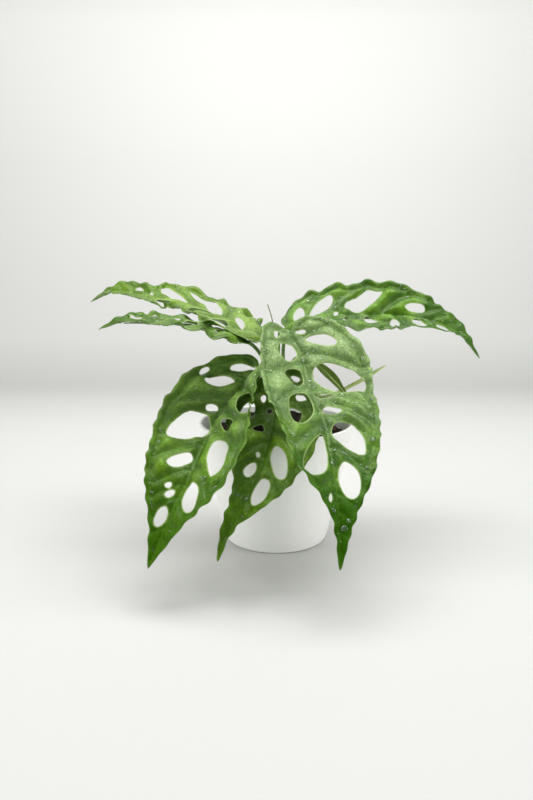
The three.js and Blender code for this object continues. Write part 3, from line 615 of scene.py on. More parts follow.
# Plain materials: two colours mixed by soft noise within a span of it, over a fine relief of
# noise with its height in metres and its strength. A noise is given by its scale and detail.
# Some have a third colour where their tip is painted, a weaker gloss, or uneven roughness.
PLAIN_LOOKS = dict(
    stalk=dict(
        colours=[(0.09, 0.2, 0.03), (0.18, 0.32, 0.07)], noise=(160, 4), span=(0.4, 0.62),
        roughness=0.42, skin=(900, 2), skin_relief=(0.0002, 0.4), tip=(0.07, 0.06, 0.02)),
    rolled_leaf=dict(
        colours=[(0.34, 0.47, 0.13), (0.5, 0.6, 0.24)], noise=(140, 4), span=(0.4, 0.62),
        roughness=0.4, skin=(800, 2), skin_relief=(0.0002, 0.4)),
    dry_sheath=dict(
        colours=[(0.12, 0.1, 0.03), (0.28, 0.24, 0.1)], noise=(240, 4), span=(0.4, 0.62),
        roughness=0.8, skin=(1100, 3), skin_relief=(0.0003, 0.6)),
    white_satin_plastic=dict(
        colours=[(0.8, 0.81, 0.78), (0.83, 0.84, 0.81)], noise=(18, 5), span=(0.3, 0.7),
        roughness=0.42, skin=(1400, 2), skin_relief=(0.0001, 0.12), uneven=(45, 0.36, 0.5)),
    potting_mix=dict(
        colours=[(0.005, 0.004, 0.003), (0.03, 0.021, 0.013)], noise=(420, 6, 0.7), span=(0.35, 0.7),
        roughness=0.9, skin=(900, 6, 0.7), skin_relief=(0.0008, 0.9), uneven=(260, 0.65, 0.98),
        gloss=0.2),
    bark_chip=dict(
        colours=[(0.016, 0.01, 0.006), (0.07, 0.04, 0.02)], noise=(350, 5), span=(0.35, 0.65),
        roughness=0.85, skin=(1200, 4), skin_relief=(0.0004, 0.8), gloss=0.2),
    perlite=dict(
        colours=[(0.55, 0.53, 0.48), (0.8, 0.78, 0.74)], noise=(700, 3), span=(0, 1),
        roughness=0.9, skin=(1800, 3), skin_relief=(0.0004, 0.8)),
)


def plain_material(name):
    look = PLAIN_LOOKS[name]
    made, tree, shader = new_material(name, look["roughness"])
    share = remap(tree, speckle(tree, *look["noise"]), *look["span"])
    colour = mix(tree, share, *[rgb(*each) for each in look["colours"]])
    if "tip" in look:
        colour = mix(tree, painted(tree, "tip"), colour, rgb(*look["tip"]))
    if "gloss" in look:
        feed_all(tree, shader, Specular_IOR_Level=look["gloss"])
    if "uneven" in look:
        scale, low, high = look["uneven"]
        feed_all(tree, shader, Roughness=remap(tree, speckle(tree, scale), 0.3, 0.7, low, high))
    skin = relief(tree, speckle(tree, *look["skin"]), *look["skin_relief"])
    feed_all(tree, shader, Base_Color=colour, Normal=skin)
    return made


def water_material():
    made, tree, shader = new_material("water", 0.0)
    feed_all(tree, shader, Base_Color=rgb(0.8, 1.0, 0.65), Transmission_Weight=1.0, IOR=1.333,
             Coat_Weight=1.0, Coat_IOR=1.6, Coat_Roughness=0.03, Alpha=0.8)
    return made


# A leaf's surface and outline, in places (along the midrib, out from it)

class LeafSurface:
    """The smooth surface of a leaf. Places out to its right have a positive second number."""

    def __init__(self, leaf):
        self.leaf = leaf
        self.path = Path(leaf["midrib"], power=0)
        self.length = self.path.length
        heading = math.radians(leaf["heading"])
        self.side = np.cross([math.cos(heading), math.sin(heading), 0], UP)
        self.widest = max(leaf["right"] + leaf["left"])

    def place(self, along, out):
        leaf = self.leaf
        along = np.asarray(along, float)
        out = np.asarray(out, float)
        on_rib = np.clip(along, 0, self.length)
        share = on_rib / self.length
        tangent = self.path.heading(on_rib)
        point = self.path.at(on_rib) + tangent * (along - on_rib)[:, None]
        across = unit(self.side - tangent * (tangent @ self.side)[:, None])
        up = np.cross(across, tangent)
        roll = np.radians(spread(leaf["roll"], share))[:, None]
        outward = across * np.cos(roll) + up * np.sin(roll)
        normal = up * np.cos(roll) - across * np.sin(roll)
        right = out > 0
        folds = leaf["fold"]
        rise = np.radians(np.where(right, spread(folds["right"], share), spread(folds["left"], share)))
        bend = np.where(right, leaf["arch"]["right"], leaf["arch"]["left"]) / 1000
        width = np.abs(out)
        reach = (np.sin(rise) - np.sin(rise - bend * width)) / bend
        lift = (np.cos(rise - bend * width) - np.cos(rise)) / bend
        fade = np.minimum(np.minimum(1, WAVE["fade_in"] * share), WAVE["fade_out"] * (1 - share))
        phase = TURN * along / leaf["wave"]["length"] + np.where(right, 0, WAVE["left_shift"])
        lift = lift + leaf["wave"]["height"] * fade * (width / self.widest) ** 2 * np.sin(phase)
        return point + outward * (np.sign(out) * reach)[:, None] + normal * lift[:, None]

    def normal_at(self, along, out):
        d = 0.4
        lengthwise = self.place(along + d, out) - self.place(along - d, out)
        sideways = self.place(along, out + d) - self.place(along, out - d)
        return unit(np.cross(sideways, lengthwise))


def spaced(points, step):
    """Points about a step apart along a line of flat points, its ends kept."""
    points = np.asarray(points, float)
    lengths = lengths_along(points)
    at = np.linspace(0, lengths[-1], max(3, round(lengths[-1] / step) + 1))
    return interpolated(at, lengths, points)


def half_outline(widths, lobe, length):
    points = [(0, 0)]
    points += [(-reach * lobe, width * widths[0]) for width, reach in LOBE]
    points += [(share * length, width) for share, width in zip(STATIONS, widths)]
    points.append((length, TIP_HALF_WIDTH))
    return catmull_rom(points, power=0)


def ripple(along, shift):
    """Uneven small waves of the margin, from -1 to 1."""
    wander = RIPPLE["wander"] * np.sin(along / RIPPLE["wander_length"] + shift)
    return np.sin(TURN * along / RIPPLE["length"] + wander + shift)


def rippled(margin, shift):
    """A half's margin with small bays and bumps that fade out at the stalk and at the tip."""
    along = lengths_along(margin)
    fade = smooth_step(*RIPPLE["start"], along) * smooth_step(0, RIPPLE["end"], along[-1] - along)
    ahead = unit(np.gradient(margin, axis=0))
    inward = np.stack([ahead[:, 1], -ahead[:, 0]], -1)
    depth = RIPPLE["inset"] * fade * (RIPPLE["mean_inset"] + ripple(along, shift))
    return margin + inward * depth[:, None]


def blade_outline(leaf, length):
    right, left = [
        rippled(spaced(half_outline(leaf[half], leaf["lobe"][half], length), EDGE_STEP), RIPPLE[half])
        for half in ("right", "left")
    ]
    return np.vstack([left * (1, -1), [(length + TIP_POINT, 0)], right[::-1][:-1]])


def hole_outline(hole):
    """An oval with one end drawn out to a blunt point."""
    along, out, long, wide, turn, point = hole
    count = max(10, round(math.pi * (long + wide) / 2 / EDGE_STEP))
    t = np.linspace(0, TURN, count, endpoint=False)
    u = long / 2 * np.cos(t)
    v = wide / 2 * np.sin(t) * (1 - point * np.cos(t))
    angle = math.radians(turn)
    s = along + u * math.cos(angle) - v * math.sin(angle)
    w = abs(out) + u * math.sin(angle) + v * math.cos(angle)
    return np.stack([s, math.copysign(1, out) * w], -1)


def inside(points, ring):
    """Whether each flat point lies inside a ring."""
    x, y = points[:, 0][:, None], points[:, 1][:, None]
    ax, ay = ring[:, 0], ring[:, 1]
    bx, by = np.roll(ax, 1), np.roll(ay, 1)
    crosses = (ay > y) != (by > y)
    level = np.where(by == ay, 1, by - ay)
    return np.count_nonzero(crosses & (x < (bx - ax) * (y - ay) / level + ax), axis=1) % 2 == 1


def distance_to_line(points, line, closed=False):
    """Each flat point's distance to a line of points in whole millimetres, rounded down, up
    to the distance that still counts."""
    a = line if closed else line[:-1]
    b = np.roll(line, -1, axis=0) if closed else line[1:]
    nearest = np.full(len(points), float(FAR))
    for first in range(0, len(a), SEGMENTS_AT_ONCE):
        starts, ends = a[first:first + SEGMENTS_AT_ONCE], b[first:first + SEGMENTS_AT_ONCE]
        low = np.minimum(starts.min(0), ends.min(0)) - FAR
        high = np.maximum(starts.max(0), ends.max(0)) + FAR
        near = np.flatnonzero(((points > low) & (points < high)).all(1))
        close = points[near]
        found = nearest[near]
        for start, end in zip(starts, ends):
            (sx, sy), (ex, ey) = start, end - start
            dx, dy = close[:, 0] - sx, close[:, 1] - sy
            t = np.clip((dx * ex + dy * ey) / max(ex * ex + ey * ey, 1e-9), 0, 1)
            found = np.minimum(found, np.hypot(dx - t * ex, dy - t * ey))
        nearest[near] = found
    return np.floor(nearest)


def distance_to_any(points, lines, closed=False):
    return np.min([distance_to_line(points, line, closed) for line in lines], axis=0)


def vein_offset(start, out, length):
    """How far along the midrib a vein has come when it is this far out."""
    share = start / length
    slope = np.interp(share, VEIN_START["share"], VEIN_START["slope"])
    bend = np.interp(share, VEIN_BEND["share"], VEIN_BEND["bend"])
    return slope * out + bend * out**2


def hole_spans(holes, side, length):
    """Stretches of the midrib whose veins would run through a hole of this half."""
    candidates = np.linspace(VEINS["first"], length, 400)
    spans = []
    for hole in holes:
        if (hole[1] > 0) != (side > 0):
            continue
        reached = [candidates[np.argmin(np.abs(candidates + vein_offset(candidates, abs(w), length) - s))]
                   for s, w in hole_outline(hole)]
        spans.append([min(reached), max(reached)])
    spans.sort()
    merged = [spans[0]]
    for low, high in spans[1:]:
        if low < merged[-1][1] - VEINS["overlap"]:
            merged[-1][1] = max(high, merged[-1][1])
        else:
            merged.append([low, high])
    return merged


def vein_starts(leaf, side, length):
    """Places on the midrib at which one half's veins start: midway between its holes."""
    spans = hole_spans(leaf["holes"], side, length)
    edges = [min(VEINS["at_stalk"], spans[0][0] - VEINS["before_holes"])]
    edges += [(a[1] + b[0]) / 2 for a, b in zip(spans, spans[1:])]
    edges.append(spans[-1][1] + VEINS["after_holes"])
    starts = []
    for low, high in zip(edges, edges[1:]):
        starts.append(low)
        blocked = any(a < (low + high) / 2 < b for a, b in spans)
        if high - low > VEINS["widest_gap"] and not blocked:
            starts.append((low + high) / 2)
    low = edges[-1]
    while low < VEINS["last_share"] * length:
        starts.append(low)
        low += VEINS["spacing"]
    return starts


def veins_of(leaf, length):
    """All veins of a blade as lines of places: the laterals and the line that collects them."""
    lines = []
    for half, side in (("right", 1), ("left", -1)):
        lobe = leaf["lobe"][half]
        margin = half_outline(leaf[half], lobe, length)
        kept = margin[:, 1] > COLLECTING_VEIN["least_width"]
        kept &= margin[:, 0] > -lobe * COLLECTING_VEIN["lobe_share"]
        collecting = margin[kept] * (1, COLLECTING_VEIN["share"])
        reached = np.vstack([collecting, [(length, 0), (0, 0)]])
        lines.append(spaced(collecting, COLLECTING_VEIN["step"]) * (1, side))
        for start in vein_starts(leaf, side, length):
            out = np.linspace(0, VEINS["reach"], VEINS["points"])
            line = np.stack([start + vein_offset(start, out, length), out], -1)
            line = line[inside(line + (0.01, 0.01), reached)]
            if len(line) > 2:
                lines.append(line * (1, side))
    return lines


def blade_points(outline, holes):
    """An even staggered net of points inside a blade, clear of its edges."""
    low, high = outline.min(0), outline.max(0)
    rows = []
    for i, w in enumerate(np.arange(low[1], high[1], MESH_STEP * math.sqrt(3) / 2)):
        s = np.arange(low[0] + (i % 2) * MESH_STEP / 2, high[0], MESH_STEP)
        rows.append(np.stack([s, np.full(len(s), w)], -1))
    net = np.vstack(rows)
    return net[free_places(net, outline, holes)]


def free_places(points, outline, holes):
    """Whether each place is on the blade and clear of its edges."""
    free = inside(points, outline)
    kept = np.flatnonzero(free)
    free[kept] = distance_to_line(points[kept], outline, closed=True) >= NET_MARGIN
    for hole in holes:
        reach = np.ptp(hole, axis=0).max() + 3
        near = np.flatnonzero(free & (np.abs(points - hole.mean(0)).max(1) < reach))
        if len(near):
            away = distance_to_line(points[near], hole, closed=True) >= NET_MARGIN
            free[near] = away & ~inside(points[near], hole)
    return free


def triangulate(outline, holes, inner):
    """Even triangles that fill the outline, leave the holes free, and face up from the blade."""
    loops = [outline] + holes
    points = np.vstack(loops + [inner])
    edges = []
    first = 0
    for loop in loops:
        edges += [(first + i, first + (i + 1) % len(loop)) for i in range(len(loop))]
        first += len(loop)
    result = delaunay_2d_cdt([Vector(p) for p in points], edges, [], 1, 1e-6)
    places = np.array([tuple(v) for v in result[0]])
    triangles = np.array([tuple(face) for face in result[2]])
    middles = places[triangles].mean(1)
    kept = inside(middles, outline)
    for hole in holes:
        kept &= ~inside(middles, hole)
    triangles = triangles[kept]
    a, b, c = (places[triangles[:, k]] for k in range(3))
    turned = (b[:, 0] - a[:, 0]) * (c[:, 1] - a[:, 1]) > (b[:, 1] - a[:, 1]) * (c[:, 0] - a[:, 0])
    triangles[turned] = triangles[turned][:, ::-1]
    used = np.unique(triangles)
    renumbered = np.zeros(len(places), int)
    renumbered[used] = np.arange(len(used))
    return places[used], renumbered[triangles]


def smoothed(values, triangles, rounds):
    """A value at each point of a mesh, evened out with its neighbours' values."""
    pairs = triangles[:, [0, 1, 1, 2, 2, 0]].reshape(-1, 2)
    edges = np.unique(np.sort(pairs, axis=1), axis=0)
    counts = np.bincount(edges.ravel(), minlength=len(values))
    for i in range(rounds):
        total = np.bincount(edges[:, 0], values[edges[:, 1]], len(values))
        total += np.bincount(edges[:, 1], values[edges[:, 0]], len(values))
        values = 0.4 * values + 0.6 * total / counts
    return values


class Blade:
    """A leaf's fine blade: its places, its relief, and the distances that its look follows."""

    def __init__(self, leaf, seed, fullness):
        self.surface = LeafSurface(leaf)
        self.length = self.surface.length
        outline = blade_outline(leaf, self.length)
        holes = [hole_outline(hole) for hole in leaf["holes"]]
        inner = blade_points(outline, holes)
        self.places, self.triangles = triangulate(outline, holes, inner)
        self.along, self.out = self.places.T
        self.share = np.clip(self.along / self.length, 0, 1)
        self.to_rib = np.abs(self.out)
        self.to_vein = distance_to_any(self.places, veins_of(leaf, self.length))
        self.to_margin = distance_to_line(self.places, outline, closed=True)
        self.to_hole = distance_to_any(self.places, holes, closed=True)
        self.to_edge = np.minimum(self.to_margin, self.to_hole)
        self.bulge, self.height = self.relief(seed, fullness)
        normal = self.surface.normal_at(self.along, self.out)
        self.middle = self.surface.place(self.along, self.out) + normal * self.height[:, None]
        self.normal = self.mesh_normals()

    def relief(self, seed, fullness):
        """How full each point's bulge is, and the height over the smooth surface: quilted
        between sunken veins and curled at the edges."""
        pillow = 1 - bell(np.minimum(self.to_vein, self.to_rib), QUILT["width"])
        pillow -= HOLE_CURL["depth"] * bell(self.to_hole, HOLE_CURL["width"])
        pillow = smoothed(pillow, self.triangles, QUILT["smoothing"])
        calm = smooth_step(0, QUILT["calm_edge"], self.to_margin)
        calm *= 1 - QUILT["calm_tip"] * smooth_step(0.6, 1, self.share)
        height = QUILT["height"] * fullness * calm * (pillow - QUILT["middle"])
        height -= FURROW["depth"] * calm * bell(self.to_vein, FURROW["width"])
        height -= MIDRIB_FURROW["depth"] * bell(self.to_rib, MIDRIB_FURROW["width"])
        fade = smooth_step(0, RIPPLE["first_share"], self.share)
        fade = fade * smooth_step(0, RIPPLE["last_share"], 1 - self.share)
        shift = np.where(self.out > 0, RIPPLE["right"], RIPPLE["left"])
        wave = ripple(self.along, shift) * np.exp(-self.to_margin / RIPPLE["reach"])
        uneven = [noise.fractal(Vector((s, w, seed)), WRINKLE["roughness"], 2.0, WRINKLE["octaves"])
                  for s, w in self.places / WRINKLE["size"]]
        height += RIPPLE["height"] * fade * wave + WRINKLE["height"] * calm * np.array(uneven)
        return np.clip(pillow, 0, 1), height

    def height_on_rib(self, along):
        """How high the relief lies over the smooth surface at the midrib."""
        on_rib = np.flatnonzero(self.to_rib < MESH_STEP)
        on_rib = on_rib[np.argsort(self.along[on_rib])]
        even = np.convolve(self.height[on_rib], np.full(7, 1 / 7), "same")
        return np.interp(along, self.along[on_rib], even)

    def mesh_normals(self):
        a, b, c = (self.middle[self.triangles[:, k]] for k in range(3))
        flat = np.cross(b - a, c - a)
        total = np.zeros_like(self.middle)
        for k in range(3):
            for axis in range(3):
                total[:, axis] += np.bincount(self.triangles[:, k], flat[:, axis], len(total))
        return unit(total)

    def painted_values(self, lime, pale, tip_shade):
        veins = PAINTED["vein"] * bell(self.to_vein, PAINTED["vein_width"])
        midrib = PAINTED["midrib"] * bell(self.to_rib, PAINTED["vein_width"])
        margin_rim = PAINTED["margin_rim"] * bell(self.to_margin, PAINTED["rim_width"])
        near_stalk = smooth_step(*PAINTED["painted_sheen_until"], self.share)
        lime_low, painted_sheen_low = PAINTED["lime_in_furrow"], PAINTED["painted_sheen_in_furrow"]
        painted_sheen_bulge = smooth_step(*PAINTED["painted_sheen_bulge"], self.bulge)
        return dict(
            vein=np.maximum(veins, midrib),
            rim=np.maximum(bell(self.to_hole, PAINTED["rim_width"]), margin_rim),
            # Painted shade at the tip
            tip=tip_shade * smooth_step(*PAINTED["tip_shade_from"], self.share),
            # The lime green is weaker in the furrows, which adds to their painted shade.
            lime=lime * (lime_low + (1 - lime_low) * self.bulge),
            # Painted sheen near the stalk, most on the bulges
            pale=pale * (painted_sheen_low + (1 - painted_sheen_low) * painted_sheen_bulge) * near_stalk,
            bulge=self.bulge,
        )

    def add_to(self, shape, tones):
        """Adds the blade's upper and lower side and its rounded edge."""
        count = len(self.places)
        middle, normal = self.middle, self.normal
        thinning = 1 - BLADE["edge_share"]
        thick = BLADE["edge_share"] + thinning * smooth_step(0, BLADE["edge_width"], self.to_edge)
        half = normal * (BLADE["thickness"] * thick / 2)[:, None]
        triangles = self.triangles.tolist()
        border = border_of(triangles)
        on_border = sorted({a for a, b in border})
        rim_index = {v: 2 * count + i for i, v in enumerate(on_border)}
        push = np.zeros((count, 3))
        for a, b in border:
            outward = np.cross(middle[b] - middle[a], normal[a])
            push[a] += outward
            push[b] += outward
        rim = middle[on_border] + BLADE["rounding"] * unit(push[on_border])
        faces = triangles + [(a + count, c + count, b + count) for a, b, c in triangles]
        for a, b in border:
            faces.append((b, a, rim_index[a], rim_index[b]))
            faces.append((rim_index[b], rim_index[a], a + count, b + count))
        values = {name: np.concatenate([value, value, value[on_border]])
                  for name, value in self.painted_values(**tones).items()}
        values["under"] = np.repeat([0, 1, 0.5], [count, count, len(on_border)])
        shape.add(np.vstack([middle + half, middle - half, rim]), faces, 0, **values)


def stalk_points(piece, foot_radius):
    """A stalk's points from its foot at the stem's side, where it first rises straight."""
    dx, dy = polar(STEM["radius"] + GAP + foot_radius, math.radians(piece["side"]))
    x, y, low = STEM["x"] + dx, STEM["y"] + dy, piece["height"]
    return [(x, y, low), (x, y, low + STALK["seat"])] + list(piece["way"])


def make_leaf(name, leaf, materials, seed):
    blade = Blade(leaf, seed, FULLNESS.get(name, 1.0))
    shape = Shape(BLADE_VALUES)
    blade.add_to(shape, LEAF_TONES[name])
    surface = blade.surface
    shares = np.linspace(0, 1, RIB["points"])
    along = shares * RIB["reach"] * surface.length
    none = np.zeros(len(along))
    rib_radii = [RIB["base_radius"], RIB["tip_radius"]]
    drop = spread(rib_radii, shares) + RIB["sunk"] - blade.height_on_rib(along)
    rib = surface.place(along, none) - surface.normal_at(along, none) * drop[:, None]
    stalk = stalk_points(leaf["stalk"], STALK["foot_radius"])
    path = Path(stalk + list(rib))
    knee = Path(stalk + [rib[0]]).length / path.length
    foot, thin = STALK["foot_radius"], STALK["radius"]
    stalk_radii = [foot + STALK["flare"], foot, thin, thin, STALK["knee_radius"]]

    def radius(share, angles):
        if share > knee:
            return spread(rib_radii, (share - knee) / (1 - knee))
        return spread(stalk_radii, share / knee)

    vertices, faces = tube(path, radius, round(path.length / STALK["step"]), STALK["sides"])
    at_foot = bell(vertices[:, 2] - vertices[:, 2].min(), STALK["brown_height"])
    shape.add(vertices, faces, 1, tip=STALK["brown"] * at_foot)
    shape.stand_in(name, materials)
    return blade


# Water drops

def drop_shape(radius, height):
    """A closed bead that is sunk a little into what it lies on."""
    rings, sides = DROP_SHAPE["rings"], DROP_SHAPE["sides"]
    vertices = [(0, 0, height)]
    for i in range(1, rings + 1):
        angle = math.radians(DROP_SHAPE["contact"]) * i / rings
        vertices += circle(radius * math.sin(angle), sides, height * math.cos(angle))
    vertices.append((0, 0, -DROP_SHAPE["sunk"] * height))
    return np.array(vertices), capped_faces(rings, sides)


def drop_sizes(drop, count, random):
    return drop["least"] + drop["more"] * random.rand(count) ** drop["evenness"]


def drop_spots(blade, along_veins, beads, random):
    """Points of a blade and the sizes of the drops that lie on them."""
    on_leaf = blade.share < DROPS_REACH["last_share"]
    free = np.flatnonzero(on_leaf & (blade.to_edge > SMALL_DROP["from_edge"]))
    nearest = np.minimum(blade.to_vein[free], blade.to_rib[free])
    weight = bell(nearest, SMALL_DROP["from_vein"]) * (1 - DROPS_REACH["thinning"] * blade.share[free])
    small = random.choice(free, along_veins, replace=False, p=weight / weight.sum())
    calm = free[blade.to_edge[free] > BEAD["from_edge"]]
    large = random.choice(calm, beads, replace=False)
    sizes = [drop_sizes(SMALL_DROP, along_veins, random), drop_sizes(BEAD, beads, random)]
    return np.concatenate([small, large]), np.concatenate(sizes)


def make_drops(blades, material):
    random = np.random.RandomState(DROPS_SEED)
    flattest, taller = DROP_SHAPE["height"]
    shape = Shape()
    for name, blade in blades.items():
        spots, sizes = drop_spots(blade, *DROPS[name], random)
        for spot, size in zip(spots, sizes):
            normal = blade.normal[spot]
            forward = unit(np.cross(normal, [0.3, 0.5, 0.8]))
            side = np.cross(normal, forward)
            vertices, faces = drop_shape(size, size * (flattest + taller * random.rand()))
            vertices = vertices * (1 + DROP_SHAPE["stretch"] * random.rand(), 1, 1)
            centre = blade.middle[spot] + normal * BLADE["thickness"] / 2
            shape.add(centre + vertices @ np.array([forward, side, normal]), faces)
    shape.make("water_drops", [material])


# Stem, young leaf, spear and dry tip

def make_stem(material):
    path = Path([(STEM["x"], STEM["y"], z) for z in np.linspace(STEM["foot"], STEM["top"], 6)])
    skin = STEM_SKIN

    def radius(share, angles):
        z = STEM["foot"] + share * (STEM["top"] - STEM["foot"])
        from_scar = (z / STEM["scar_spacing"]) % 1.0 - 0.5
        beyond = max(0.0, (share - skin["dome_start"]) / (1 - skin["dome_start"]))
        dome = math.sqrt(max(0.02, 1 - beyond**2))
        ridges = skin["ridges"] * np.cos(5 * angles + 0.05 * z)
        ridges = ridges + skin["lines"] * np.cos(9 * angles - 0.11 * z)
        ring = skin["ring"] * bell(from_scar, skin["ring_width"])
        return (STEM["radius"] - skin["sunk"] + ring + ridges) * dome

    vertices, faces = tube(path, radius, 150, 28)
    shape = Shape(("tip",))
    shape.add(vertices, faces, 0, tip=skin["brown"] * smooth_step(*skin["brown_below"], vertices[:, 2]))
    shape.stand_in("stem", [material])


def make_young_leaf(materials):
    """A half opened leaf on its stalk, folded along its midrib."""
    path = Path(YOUNG["midrib"])
    blade = YOUNG_BLADE
    rows, columns = blade["rows"], blade["columns"]
    shares = np.linspace(0, 1, rows)
    centres, tangents = path.at(shares * path.length), path.heading(shares * path.length)
    level = unit(np.cross(tangents, UP))
    roll, fold = math.radians(YOUNG["roll"]), math.radians(YOUNG["fold"])
    across = level * math.cos(roll) + np.cross(tangents, level) * math.sin(roll)
    up = np.cross(across, tangents)
    widths = YOUNG["half_widths"]
    curve = catmull_rom(list(zip(np.linspace(0, 1, len(widths)), widths)), power=0)
    half = np.interp(shares, curve[:, 0], curve[:, 1])
    upper, lower, vein = [], [], []
    for u in np.linspace(-1, 1, columns):
        lift = half * (abs(u) * math.sin(fold) - blade["cup"] * u * u)
        lift += blade["wave"] * np.sin(blade["wave_turns"] * shares) * u * u - blade["sunk"]
        middle = centres + across * (half * u * math.cos(fold))[:, None] + up * lift[:, None]
        thin = blade["middle"] - blade["thinner"] * abs(u)
        upper.append(middle + up * thin)
        lower.append(middle - up * thin)
        vein.append(np.full(rows, bell(u, 0.12)))
    count = rows * columns
    vertices = np.vstack([np.stack(side, 1).reshape(-1, 3) for side in (upper, lower)])
    top = grid_faces(rows, columns)
    bottom = [tuple(i + count for i in reversed(face)) for face in top]
    walls = [(b, a, a + count, b + count) for a, b in border_of(top)]
    shape = Shape(BLADE_VALUES)
    # Its tip darkens with the same painted shade as the large leaves' tips.
    shape.add(vertices, top + bottom + walls, 0, bulge=0.7, under=np.repeat([0, 1], count),
              vein=np.tile(np.stack(vein, 1).ravel(), 2),
              tip=np.tile(np.repeat(shares**3, columns), 2))
    ends = [YOUNG["midrib"][0], path.at(path.length / 2)]
    stalk = Path(stalk_points(YOUNG, YOUNG["radius"]) + ends)

    def radius(share, angles):
        return YOUNG["radius"] * (1.15 - 1.6 * max(0.0, share - 0.6))

    vertices, faces = tube(stalk, radius, 60, 12)
    shape.add(vertices - (0, 0, 0.5), faces, 1)
    shape.stand_in("leaf_young", materials)


def make_slender(name, piece, material, steps, seam):
    """A thin pointed body from the stem's side, with a twisted seam of this depth."""
    path = Path(stalk_points(piece, piece["radii"][0]))

    def radius(share, angles):
        from_seam = np.mod(angles - SPEAR_SEAM["twist"] * share, TURN) - math.pi
        cut = seam * bell(from_seam, SPEAR_SEAM["width"]) * smooth_step(0.45, 0.6, share)
        return spread(piece["radii"], share) * (1 - cut)

    shape = Shape()
    shape.add(*tube(path, radius, steps, 16))
    shape.stand_in(name, [material])


# Pot and soil

def pot_radius(z):
    return np.interp(z, [0, POT["height"]], [POT["base_radius"], POT["rim_radius"]])


def make_pot(material):
    """The pot, turned from its half section: up the outside, over the rim and down inside."""
    wall, floor, edge = POT["wall"], POT["floor"], POT["foot_edge"]
    lip = wall / 2
    foot = POT["base_radius"] - edge
    rim_z = POT["height"] - lip
    profile = [(0, 0), (12, 0), (30, 0), (foot, 0)]
    for angle in np.radians(np.arange(15, 91, 15)):
        profile.append((foot + edge * math.sin(angle), edge - edge * math.cos(angle)))
    profile += [(pot_radius(z), z) for z in np.linspace(6, rim_z - 3, 14)]
    for angle in np.radians(np.arange(0, 181, 15)):
        x, z = polar(lip, angle)
        profile.append((pot_radius(rim_z) - lip + x, rim_z + z))
    profile += [(pot_radius(z) - wall, z) for z in np.linspace(rim_z - 3, floor + 1.5, 12)]
    profile += [(pot_radius(0) - wall - 1, floor), (30, floor), (12, floor), (0, floor)]
    vertices = []
    for radius, z in profile:
        vertices += circle(radius, POT["sectors"], z)
    shape = Shape()
    shape.add(vertices, grid_faces(len(profile), POT["sectors"], closed=True))
    made = shape.stand_in("pot", [material])
    weld_axis(made)
    for i in range(DRAIN["count"]):
        cut_drain(made, *polar(DRAIN["ring"], TURN * (i + 0.5) / DRAIN["count"]))


def weld_axis(piece):
    """Merges the points that lie on the axis into one."""
    modifier = piece.modifiers.new("weld", "WELD")
    modifier.merge_threshold = 0.01 * MM
    apply_modifiers(piece)


def apply_modifiers(piece):
    bpy.context.view_layer.objects.active = piece
    for modifier in list(piece.modifiers):
        bpy.ops.object.modifier_apply(modifier=modifier.name)


def cut_drain(piece, x, y):
    bpy.ops.mesh.primitive_cylinder_add(
        vertices=DRAIN["sides"], radius=DRAIN["radius"] * MM, depth=DRAIN["depth"] * MM,
        location=(x * MM, y * MM, POT["floor"] / 2 * MM))
    cutter = bpy.context.active_object
    modifier = piece.modifiers.new("drain", "BOOLEAN")
    modifier.object = cutter
    modifier.operation = "DIFFERENCE"
    apply_modifiers(piece)
    bpy.data.objects.remove(cutter)


def seeded_random(seed):
    """The repeatable random numbers from 0 to 1 that also place the chips of the solid soil."""
    state = seed
    while True:
        state = (state * 1664525 + 1013904223) % 4294967296
        yield state / 4294967296


def soil_height(x, y):
    share = math.hypot(x, y) / (pot_radius(SOIL["edge_height"]) - POT["wall"])
    heap = SOIL["mound"] * (1 - share * share)
    lumps = math.sin(0.31 * x + 0.9 * math.sin(0.17 * y)) * math.cos(0.27 * y + 0.6 * math.sin(0.23 * x))
    crumbs = 0.6 * math.sin(0.73 * x - 0.41 * y) * math.sin(0.55 * y + 0.38 * x)
    return SOIL["edge_height"] + heap + SOIL["lump"] * (lumps + crumbs) * min(1, 4 * (1 - share))


def crumbly_height(x, y):
    crumbs = noise.fractal(Vector((0.35 * x, 0.35 * y, 0)), 0.7, 2.1, 5)
    return soil_height(x, y) + SOIL["crumb"] * crumbs


def ball():
    """A coarse ball of radius 1, its rows of points staggered."""
    rings, sides = LUMP["rings"], LUMP["sides"]
    vertices = [(0, 0, 1)]
    for i in range(1, rings):
        for k in range(sides):
            x, y = polar(math.sin(math.pi * i / rings), TURN * (k + 0.5 * (i % 2)) / sides)
            vertices.append((x, y, math.cos(math.pi * i / rings)))
    vertices.append((0, 0, -1))
    return np.array(vertices, float), capped_faces(rings - 1, sides)


def rough_lump(size, seed, squareness):
    """A broken lump: a ball pushed towards a box and roughened."""
    vertices, faces = ball()
    squared = np.sign(vertices) * np.abs(vertices) ** squareness
    shift = Vector((seed, 2 * seed, 0))
    rough = [1 + LUMP["roughness"] * noise.noise(Vector(v) * LUMP["scale"] + shift) for v in squared]
    return squared * np.array(rough)[:, None] * np.array(size) / 2, faces


def bedded(vertices, x, y, z, tilt_x, tilt_y, turn):
    """Turns a lump as the chips of the solid soil are turned, and lays it down."""
    rotation = np.array(Euler((tilt_x, tilt_y, turn), "XYZ").to_matrix())
    return vertices @ rotation.T + (x, y, z)


def add_soil_body(shape, top_radius):
    """A closed body with crumbly rings on top and a flat base on the pot's floor."""
    rings, sectors = SOIL["rings"], SOIL["sectors"]
    vertices = []
    for i in range(rings):
        radius = top_radius * (i + 0.2) / (rings - 0.8)
        for x, y, z in circle(radius, sectors, SOIL["edge_height"] - 1):
            vertices.append((x, y, crumbly_height(x, y) if i < rings - 1 else z))
    foot_z = POT["floor"] + GAP
    vertices += circle(pot_radius(foot_z) - POT["wall"] - GAP, sectors, foot_z)
    vertices += circle(0.3, sectors, foot_z)
    shape.add(vertices, [face[::-1] for face in grid_faces(rings + 2, sectors, closed=True)])


